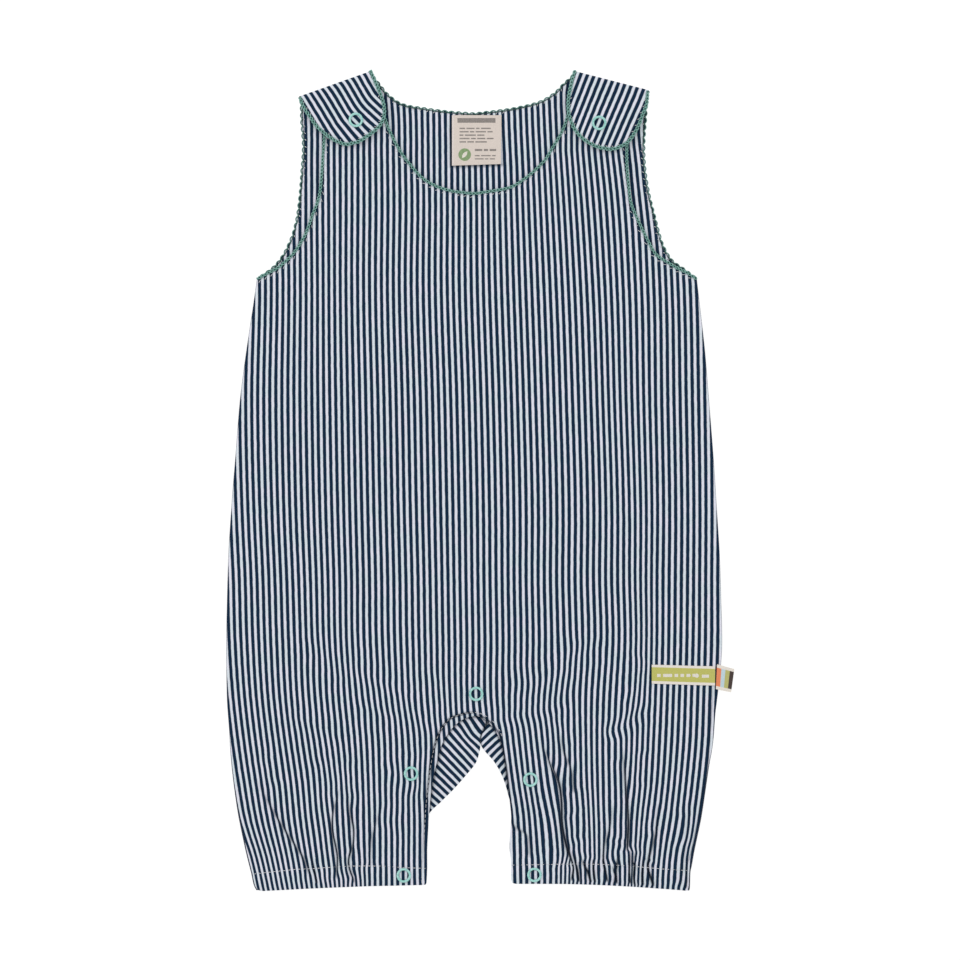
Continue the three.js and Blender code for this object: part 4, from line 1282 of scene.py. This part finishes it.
# Where the back's edging shows on the tabs, on the back's cut
TAB_EDGES = (((-64, 256), (-114, 241)), ((108, 245), (54, 257)))
teal = thread_material(
    "teal edging thread", (0.050, 0.180, 0.145, 1), (0.340, 0.650, 0.580, 1)
)
# The same teal thread, darker on the back's own edging, which lies low beside the front: painted
# shade
shaded_teal = thread_material(
    "shaded teal edging thread", (0.028, 0.110, 0.092, 1), (0.180, 0.400, 0.340, 1)
)
# A near-black tube under the threads that stands for their shade: painted shadow
edge_shadow = thread_material(
    "shaded edging core", (0.006, 0.028, 0.026, 1), (0.020, 0.085, 0.072, 1)
)
for node, (outline, start, end) in EDGING_RUNS.items():
    run = run_of(outline, start, end)
    if outline is front_outline:
        threads = {"threads": (braid(run, front_middle, FRONT_THREADS), teal)}
        core = braid(run, front_middle, [FRONT_SHADOW_CORE])
    else:
        tabs = [run_of(outline, first, last) for first, last in TAB_EDGES]
        on_tabs = [part for tab in tabs for part in braid(tab, back_middle, TAB_THREADS)]
        threads = {
            "threads": ([scallop_thread(run, back_middle, **BACK_THREAD)], shaded_teal),
            "tab_threads": (on_tabs, teal),
        }
        core = [scallop_thread(run, back_middle, **BACK_SHADOW_CORE)]
        core += [part for tab in tabs for part in braid(tab, back_middle, [TAB_SHADOW_CORE])]
    threads["core"] = (core, edge_shadow)
    for part, (tubes, material) in threads.items():
        edging = threads_object(f"{node}_{part}", tubes, material)
        if part == "threads":
            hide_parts(node)


# Stitches: white thread. Slanted stitches catch the edging every scallop, a straight row holds
# each hem, and another runs beside the front's inside leg and over the crotch.
STITCH = {"length": 1.9, "gap": 1.2, "radius": 0.17}
STITCH_SIDES = 5
INSIDE_LEG_STEPS = 6
# A stitch dips into the cloth at its ends: shares of its length, and heights in radii
STITCH_SHARES = np.array([0, 0.18, 0.5, 0.82, 1])
STITCH_ARCH = np.array([-0.9, 0.3, 0.55, 0.3, -0.9])
# Step at which places are looked up along a course
COURSE_STEP = 0.25
# How far inside the edge a catch stitch begins and ends, and how far it leans to each side
FRONT_CATCH = {"inside": (1.3, 2.3), "slant": 0.9, "radius": 0.19}
BACK_CATCH = {"inside": (0.5, 1.5), "slant": 0.4, "radius": 0.19}
INSIDE_LEG_STITCH = (
    (-36.4, -249), (-36.2, -239.6), (-35.6, -228.7), (-34.6, -213.3), (-33.8, -200.9),
    (-32.4, -188.5), (-30.9, -176.7), (-29.0, -166.8), (-26.4, -158.1), (-22.6, -151.3),
    (-18.3, -147.0), (-13.7, -145.2), (-7.0, -143.6), (-0.6, -143.8), (6.3, -147.6),
    (11.3, -153.6), (14.0, -160.0),
)


def stitch(start, end, radius):
    """One stitch between two places."""
    path = start + STITCH_SHARES[:, None] * (end - start)
    path[:, 2] += radius * STITCH_ARCH
    return tube(path, radius, STITCH_SIDES)


def stitch_row(course, place_at):
    """Stitches end to end along a course in plan."""
    course, at = evenly(course, COURSE_STEP)
    places = place_at(course)
    pitch = STITCH["length"] + STITCH["gap"]
    stitches = []
    for begin in np.arange(0, at[-1] - STITCH["length"], pitch):
        first = int(np.searchsorted(at, begin))
        last = min(int(np.searchsorted(at, begin + STITCH["length"])), len(at) - 1)
        stitches.append(stitch(places[first], places[last], STITCH["radius"]))
    return stitches


def catch_stitches(course, place_at, inside, slant, radius):
    """Slanted stitches inside an edge, one for each scallop of its edging."""
    course, at = evenly(course, COURSE_STEP)
    inward = -outward_of(course)
    ahead = np.column_stack([inward[:, 1], -inward[:, 0]])
    near, far = inside
    stitches = []
    for middle in np.arange(SCALLOP["pitch"], at[-1], SCALLOP["pitch"]):
        i = min(int(np.searchsorted(at, middle)), len(at) - 1)
        ends = np.array([
            course[i] + near * inward[i] - slant * ahead[i],
            course[i] + far * inward[i] + slant * ahead[i],
        ])
        start, end = place_at(ends)
        stitches.append(stitch(start, end, radius))
    return stitches


front_tree = BVHTree.FromObject(front, bpy.context.evaluated_depsgraph_get())


def front_top(points):
    """Places on the upper face of the finished front, creases and all."""
    down = Vector((0, 0, -1))
    places = []
    for x, y in points:
        above = Vector(to_frame([x, y, 50]))
        hit = front_tree.ray_cast(above, down)[0]
        height = hit.z / MM - DRAWING_ORIGIN[2] if hit else front_height(np.array([[x, y]]))[0]
        places.append((x, y, height))
    return np.array(places)


def back_inside(points):
    """Places on the face of the back that shows: its inner face, and the tabs' outer face."""
    places = laid_back(points)
    places[places[:, 2] < CLOTH / 2, 2] = CLOTH
    return places


white_thread = thread_material("white sewing thread", (0.55, 0.56, 0.60, 1), (0.86, 0.87, 0.88, 1))
inside_leg = through_points(INSIDE_LEG_STITCH, INSIDE_LEG_STEPS)
stitched = {
    "left_hem_stitches": stitch_row(np.array(HEM_STITCH["left"], float), front_top),
    "right_hem_stitches": stitch_row(np.array(HEM_STITCH["right"], float), front_top),
    "inside_leg_stitches": stitch_row(inside_leg, front_top),
}
for node, (outline, start, end) in EDGING_RUNS.items():
    on_front = outline is front_outline
    stitched[node + "_stitches"] = catch_stitches(
        run_of(outline, start, end),
        front_top if on_front else back_inside,
        **(FRONT_CATCH if on_front else BACK_CATCH),
    )
for name, stitches in stitched.items():
    threads_object(name, stitches, white_thread)


# Side seams: a navy overlock joins the front to the back from each armpit down to the hem, and its
# threads show as a thin dark line at the very edge. That line is partly the seam's thread and
# partly painted shade of the rolled edge.
SEAM_RADIUS = 0.5
SEAM_SIDES = 8
SEAM_STEP = 1.2
SEAM_HEIGHT = 1.6
# How far out of the edge the seam lies at the armpit and down the leg, and where that changes
SEAM_OUT = {"armpit": -0.25, "leg": 0.3}
LEG_TOP = -150
LEG_CHANGE = 60
HEM_CORNERS = {"left": (-139, -254.5), "right": (129, -254.2)}
navy_seam_thread_and_shade = thread_material(
    "navy overlock thread and edge shade", (0.004, 0.010, 0.028, 1), (0.022, 0.040, 0.085, 1)
)
for side in ("left", "right"):
    ends = (ARMPITS[side], HEM_CORNERS[side])
    start, end = ends if side == "left" else ends[::-1]
    course, _ = evenly(run_of(front_outline, start, end), SEAM_STEP)
    outward = outward_of(course)
    down_leg = ease((LEG_TOP - course[:, 1]) / LEG_CHANGE)
    out = SEAM_OUT["armpit"] + (SEAM_OUT["leg"] - SEAM_OUT["armpit"]) * down_leg
    plan = course + out[:, None] * outward
    path = np.column_stack([plan, np.full(len(plan), SEAM_HEIGHT)])
    seam_tube = tube(path, SEAM_RADIUS, SEAM_SIDES)
    seam = threads_object(side + "_side_seam", [seam_tube], navy_seam_thread_and_shade)


# Labels: a woven satin label sewn inside the back neck, a ribbon sewn on the right front and a
# small folded tab caught in the right side seam. Their marks are plain bars and dashes, and a
# leaf in a disc.
LABEL_CLOTH = 0.6
# A mark stands this much over a label and reaches this far into it
MARK_RISE = 0.03
MARK_DEPTH = 0.12
# Halves of the blur between two bands of a ribbon and at its border, as shares of the ribbon
BAND_BLUR = 0.006
BORDER_BLUR = 0.01


def ribbon_material(name, bands, across_axis, weave_scale, border=None):
    """Woven ribbon whose colour changes in bands over its own map, with fine ribs."""
    material, tree, shader = new_material(name)
    uv, place = own_map(tree, "cloth")
    colour = bands[0][1]
    for start, band in bands[1:]:
        over = remap(tree, place[across_axis], start - BAND_BLUR, start + BAND_BLUR)
        colour = blend_colours(tree, over, colour, band)
    if border is not None:
        width, trim = border
        from_middle = calc(tree, "ABSOLUTE", calc(tree, "SUBTRACT", place["Y"], 0.5))
        trimmed = 0.5 - width
        outside = remap(tree, from_middle, trimmed - BORDER_BLUR, trimmed + BORDER_BLUR)
        colour = blend_colours(tree, outside, colour, trim)
    weave = put(
        tree,
        "ShaderNodeTexWave",
        {"Vector": uv, "Scale": weave_scale, "Distortion": 0.6, "Detail": 1.0},
        bands_direction="Y",
    ).outputs["Fac"]
    ribs = remap(tree, weave, 0.0, 1.0, 0.93, 1.0)
    flecks = remap(tree, noise(tree, uv, 40.0, 2.0), 0.3, 0.7, -0.04, 0.04)
    tone = calc(tree, "ADD", ribs, flecks)
    tree.links.new(blend_colours(tree, 1.0, colour, tone, "MULTIPLY"), shader.inputs["Base Color"])
    bumped(tree, shader, weave, 0.3, 0.08 * MM)
    shader.inputs["Roughness"].default_value = 0.55
    shader.inputs["Sheen Weight"].default_value = 0.1
    return material


def label_cloth(name, corners, height_at, columns, rows, material):
    """A woven label over four corners, anticlockwise from the lower left, top at height_at."""
    lower_left, lower_right, upper_right, upper_left = np.array(corners, float)
    u, v = np.meshgrid(np.linspace(0, 1, columns + 1), np.linspace(0, 1, rows + 1))
    u, v = u.ravel()[:, None], v.ravel()[:, None]
    lower = (1 - u) * lower_left + u * lower_right
    upper = (1 - u) * upper_left + u * upper_right
    plan = (1 - v) * lower + v * upper
    places = np.column_stack([plan, height_at(plan)])
    quads = grid_faces(rows + 1, columns + 1)
    return cloth_object(name, places, quads, u[:, 0], v[:, 0], material=material)


def printed(name, shapes, height_at, material):
    """Flat marks of given outlines, woven or printed on a label: one joined mesh."""
    mesh = bmesh.new()
    for shape in shapes:
        plan = np.array(shape, float)
        places = np.column_stack([plan, height_at(plan)])
        top = [mesh.verts.new(to_frame(place + (0, 0, MARK_RISE))) for place in places]
        base = [mesh.verts.new(to_frame(place - (0, 0, MARK_DEPTH))) for place in places]
        mesh.faces.new(top)
        mesh.faces.new(base[::-1])
        for i in range(len(top)):
            j = (i + 1) % len(top)
            mesh.faces.new((base[i], base[j], top[j], top[i]))
    data = bpy.data.meshes.new(name)
    mesh.to_mesh(data)
    data.materials.append(material)
    marks = bpy.data.objects.new(name, data)
    bpy.context.scene.collection.objects.link(marks)
    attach(marks, "root")
    return marks


def print_material(name, dark, light):
    """Ink or weft yarn of one colour, a little uneven."""
    material, tree, shader = new_material(name)
    fleck = noise(tree, object_place(tree), 1400.0, 2.0)
    colour = blend_colours(tree, remap(tree, fleck, 0.3, 0.7), dark, light)
    tree.links.new(colour, shader.inputs["Base Color"])
    bumped(tree, shader, fleck, 0.2, 0.05 * MM)
    shader.inputs["Roughness"].default_value = 0.7
    return material


def bar(x, y, width, height):
    """Corners of an upright bar from its lower left corner."""
    return ((x, y), (x + width, y), (x + width, y + height), (x, y + height))


def dashes(x, y, height, lengths, gap):
    """A row of dashes from the left end on."""
    row = []
    for length in lengths:
        row.append(bar(x, y, length, height))
        x += length + gap
    return row


def disc(x, y, radius, sides):
    """Corners of a round mark about a centre."""
    angle = 2 * math.pi * np.arange(sides) / sides
    return np.column_stack([x + radius * np.cos(angle), y + radius * np.sin(angle)])


def leaf(x, y, length, width, turn):
    """A pointed leaf about a centre, turned by an angle."""
    share = np.linspace(0, 1, 12)
    half = width / 2 * np.sin(math.pi * share)
    outline = np.concatenate([
        np.column_stack([length * (share - 0.5), half]),
        np.column_stack([length * (share[-2:0:-1] - 0.5), -half[-2:0:-1]]),
    ])
    cos, sin = math.cos(turn), math.sin(turn)
    turned = outline @ np.array([[cos, sin], [-sin, cos]])
    return (turned + np.array([x, y]))[::-1]


NECK_LABEL = ((-17.7, 195.6), (12.7, 196.6), (13.0, 226.9), (-17.7, 226.9))
NECK_LABEL_TOP = 2.1
NECK_LABEL_LENGTH = 31.3
# At its lower edge the label stands up by this, with low waves across it
LABEL_LOOSE = {"rise": 0.5, "wave": 0.08, "wave_width": 6.0}
LEAF_CENTRE = (-9.8, 202.4)
SPRIG_RISE = 0.05


def neck_label_height(points):
    """The label's top: sewn down along its upper edge, a little loose at the lower one."""
    down = (NECK_LABEL[2][1] - points[:, 1]) / NECK_LABEL_LENGTH
    wave = LABEL_LOOSE["wave"] * np.sin(points[:, 0] / LABEL_LOOSE["wave_width"]) * down
    return NECK_LABEL_TOP + LABEL_LOOSE["rise"] * ease(down) + wave


cream_satin = ribbon_material(
    "neck label satin",
    ((0.0, (0.80, 0.72, 0.68, 1)), (0.035, (0.745, 0.655, 0.590, 1))),
    across_axis="X",
    weave_scale=90.0,
)
neck_label = label_cloth(
    "neck_label_cloth", NECK_LABEL, neck_label_height, columns=16, rows=16, material=cream_satin
)
thicken(neck_label, LABEL_CLOTH)
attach(neck_label, "root")
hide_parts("neck_label")
grey_ink = print_material("grey label ink", (0.20, 0.175, 0.16, 1), (0.30, 0.27, 0.25, 1))
green_ink = print_material("green label ink", (0.19, 0.30, 0.13, 1), (0.27, 0.38, 0.19, 1))
grey_marks = [
    bar(-14.3, 222.2, 23.6, 2.9),
    *dashes(-13.0, 218.3, 0.8, (3.4, 5.0, 2.2, 6.0), 0.9),
    *dashes(-13.0, 216.2, 0.8, (5.6, 2.6, 6.4, 3.2), 0.9),
    *dashes(-13.0, 214.1, 0.8, (2.4, 6.8, 4.4), 0.9),
    *dashes(-13.0, 212.0, 0.8, (6.2, 3.0, 5.0, 4.2), 0.9),
    *dashes(-13.0, 209.9, 0.8, (4.0, 4.0, 7.2), 0.9),
    *dashes(-3.5, 204.6, 1.3, (4.6, 2.6, 4.0), 1.0),
    *dashes(-3.5, 201.4, 0.7, (3.0, 6.0, 2.4), 0.8),
    *dashes(-3.5, 199.4, 0.7, (5.4, 2.2, 3.2), 0.8),
]
neck_marks = printed("neck_label_marks", grey_marks, neck_label_height, grey_ink)
neck_leaf = printed("neck_label_disc", [disc(*LEAF_CENTRE, 3.9, 28)], neck_label_height, green_ink)
pale_ink = print_material("pale label ink", (0.70, 0.66, 0.58, 1), (0.80, 0.76, 0.68, 1))
neck_sprig = printed(
    "neck_label_leaf",
    [leaf(*LEAF_CENTRE, 5.4, 2.4, math.radians(52))],
    lambda points: neck_label_height(points) + SPRIG_RISE,
    pale_ink,
)

SIDE_LABEL = ((106.1, -125.5), (145.4, -126.8), (145.4, -114.9), (106.1, -113.8))
SIDE_LABEL_RISE = 0.75
LIME = (0.545, 0.535, 0.125, 1)
CREAM = (0.86, 0.80, 0.72, 1)


def side_label_height(points):
    """The ribbon's top, which follows the front."""
    return front_height(points) + SIDE_LABEL_RISE


lime_ribbon = ribbon_material(
    "side ribbon",
    ((0.0, CREAM), (0.14, LIME), (0.87, CREAM)),
    across_axis="Y",
    weave_scale=60.0,
)
side_label = label_cloth(
    "side_label_ribbon", SIDE_LABEL, side_label_height, columns=30, rows=8, material=lime_ribbon
)
thicken(side_label, LABEL_CLOTH)
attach(side_label, "root")
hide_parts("side_label")
ribbon_marks = [
    *dashes(109.4, -121.4, 1.9, (2.2, 5.6, 2.2, 2.2, 5.6), 1.5),
    disc(134.0, -120.6, 1.3, 16),
    *dashes(137.2, -121.9, 1.9, (4.4,), 1.5),
]
side_marks = printed("side_label_marks", ribbon_marks, side_label_height, pale_ink)

SIDE_TAB = ((145.9, -129.0), (155.5, -131.1), (157.5, -116.6), (146.6, -113.6))
# From the seam at x outward, the tab is level over a share of its width and droops over the rest
SIDE_TAB_FALL = {"x": 146.2, "width": 10.2, "level": 0.25, "rest": 0.75, "drop": 2.4}
SIDE_TAB_RISE = 1.0
tab_seam_height = front_height(np.array([SIDE_TAB[3]]))[0] + SIDE_TAB_RISE


def side_tab_height(points):
    """The tab leaves the seam level and then droops."""
    out = (points[:, 0] - SIDE_TAB_FALL["x"]) / SIDE_TAB_FALL["width"]
    fall = ease((out - SIDE_TAB_FALL["level"]) / SIDE_TAB_FALL["rest"])
    return tab_seam_height - SIDE_TAB_FALL["drop"] * fall


# Where each band of the tab begins, as a share of its width, and its colour
TAB_COLOURS = (
    (0.0, (0.86, 0.25, 0.10, 1)),
    (0.26, (0.55, 0.70, 0.76, 1)),
    (0.50, (0.52, 0.50, 0.16, 1)),
    (0.76, (0.045, 0.024, 0.018, 1)),
)
tab_weave = ribbon_material(
    "side tab weave", TAB_COLOURS, across_axis="X", weave_scale=40.0, border=(0.13, CREAM)
)
side_tab = label_cloth(
    "side_tab_ribbon", SIDE_TAB, side_tab_height, columns=12, rows=10, material=tab_weave
)
thicken(side_tab, LABEL_CLOTH)
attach(side_tab, "root")
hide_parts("side_tab")


# How it is laid out: on a plain white table, under soft even light from all round, with the
# camera straight above and far off, as for a catalogue picture.
CAMERA_DISTANCE = 2.4
# The camera's distance counts from this height, half way up the garment
CAMERA_LIFT = 0.003
PICTURE_WIDTH = 0.5952
SENSOR = 36.0
PICTURE_CENTRE = np.array([-0.31, 0.62, 0.0])
TABLE_SIZE = 6.0
TABLE_DROP = 0.0004
TABLE_GREYS = ((0.24, 0.24, 0.24, 1), (0.26, 0.26, 0.26, 1))
# The table glows and the air is bright, as over a lit white background
TABLE_GLOW = 0.86
AIR_LIGHT = 0.78

camera_data = bpy.data.cameras.new("camera")
camera_data.sensor_width = SENSOR
camera_data.lens = SENSOR * CAMERA_DISTANCE / PICTURE_WIDTH
camera_data.clip_end = 20
camera = bpy.data.objects.new("camera", camera_data)
camera.location = Vector(to_frame(PICTURE_CENTRE)) + Vector((0, 0, CAMERA_DISTANCE + CAMERA_LIFT))
bpy.context.scene.collection.objects.link(camera)
bpy.context.scene.camera = camera

bpy.ops.object.select_all(action="DESELECT")
bpy.ops.mesh.primitive_plane_add(size=TABLE_SIZE, location=(0, 0, -TABLE_DROP))
table = bpy.context.object
table.name = "table"
bpy.ops.object.transform_apply(location=True, rotation=True, scale=True)
table_white, tree, shader = new_material("white table")
table_grey = blend_colours(tree, noise(tree, object_place(tree), 3.0, 2.0), *TABLE_GREYS)
tree.links.new(table_grey, shader.inputs["Base Color"])
shader.inputs["Roughness"].default_value = 0.9
shader.inputs["Specular IOR Level"].default_value = 0.0
shader.inputs["Emission Color"].default_value = (1, 1, 1, 1)
shader.inputs["Emission Strength"].default_value = TABLE_GLOW
table.data.materials.append(table_white)

world = bpy.data.worlds.new("studio")
world.use_nodes = True
air = world.node_tree.nodes["Background"]
air.inputs["Color"].default_value = (1.0, 1.0, 1.0, 1)
air.inputs["Strength"].default_value = AIR_LIGHT
bpy.context.scene.world = world
bpy.context.scene.view_settings.view_transform = "Standard"
bpy.context.scene.view_settings.look = "None"

SOFT_LIGHTS = (
    {"place": (-1.6, 1.5, 2.0), "size": 1.6, "power": 16.0},
    {"place": (1.8, 1.0, 2.4), "size": 2.0, "power": 8.0},
)
for number, light in enumerate(SOFT_LIGHTS):
    data = bpy.data.lights.new(f"soft light {number}", "AREA")
    data.size = light["size"]
    data.energy = light["power"]
    lamp = bpy.data.objects.new(f"soft light {number}", data)
    lamp.location = light["place"]
    lamp.rotation_euler = (-Vector(light["place"])).to_track_quat("-Z", "Y").to_euler()
    bpy.context.scene.collection.objects.link(lamp)
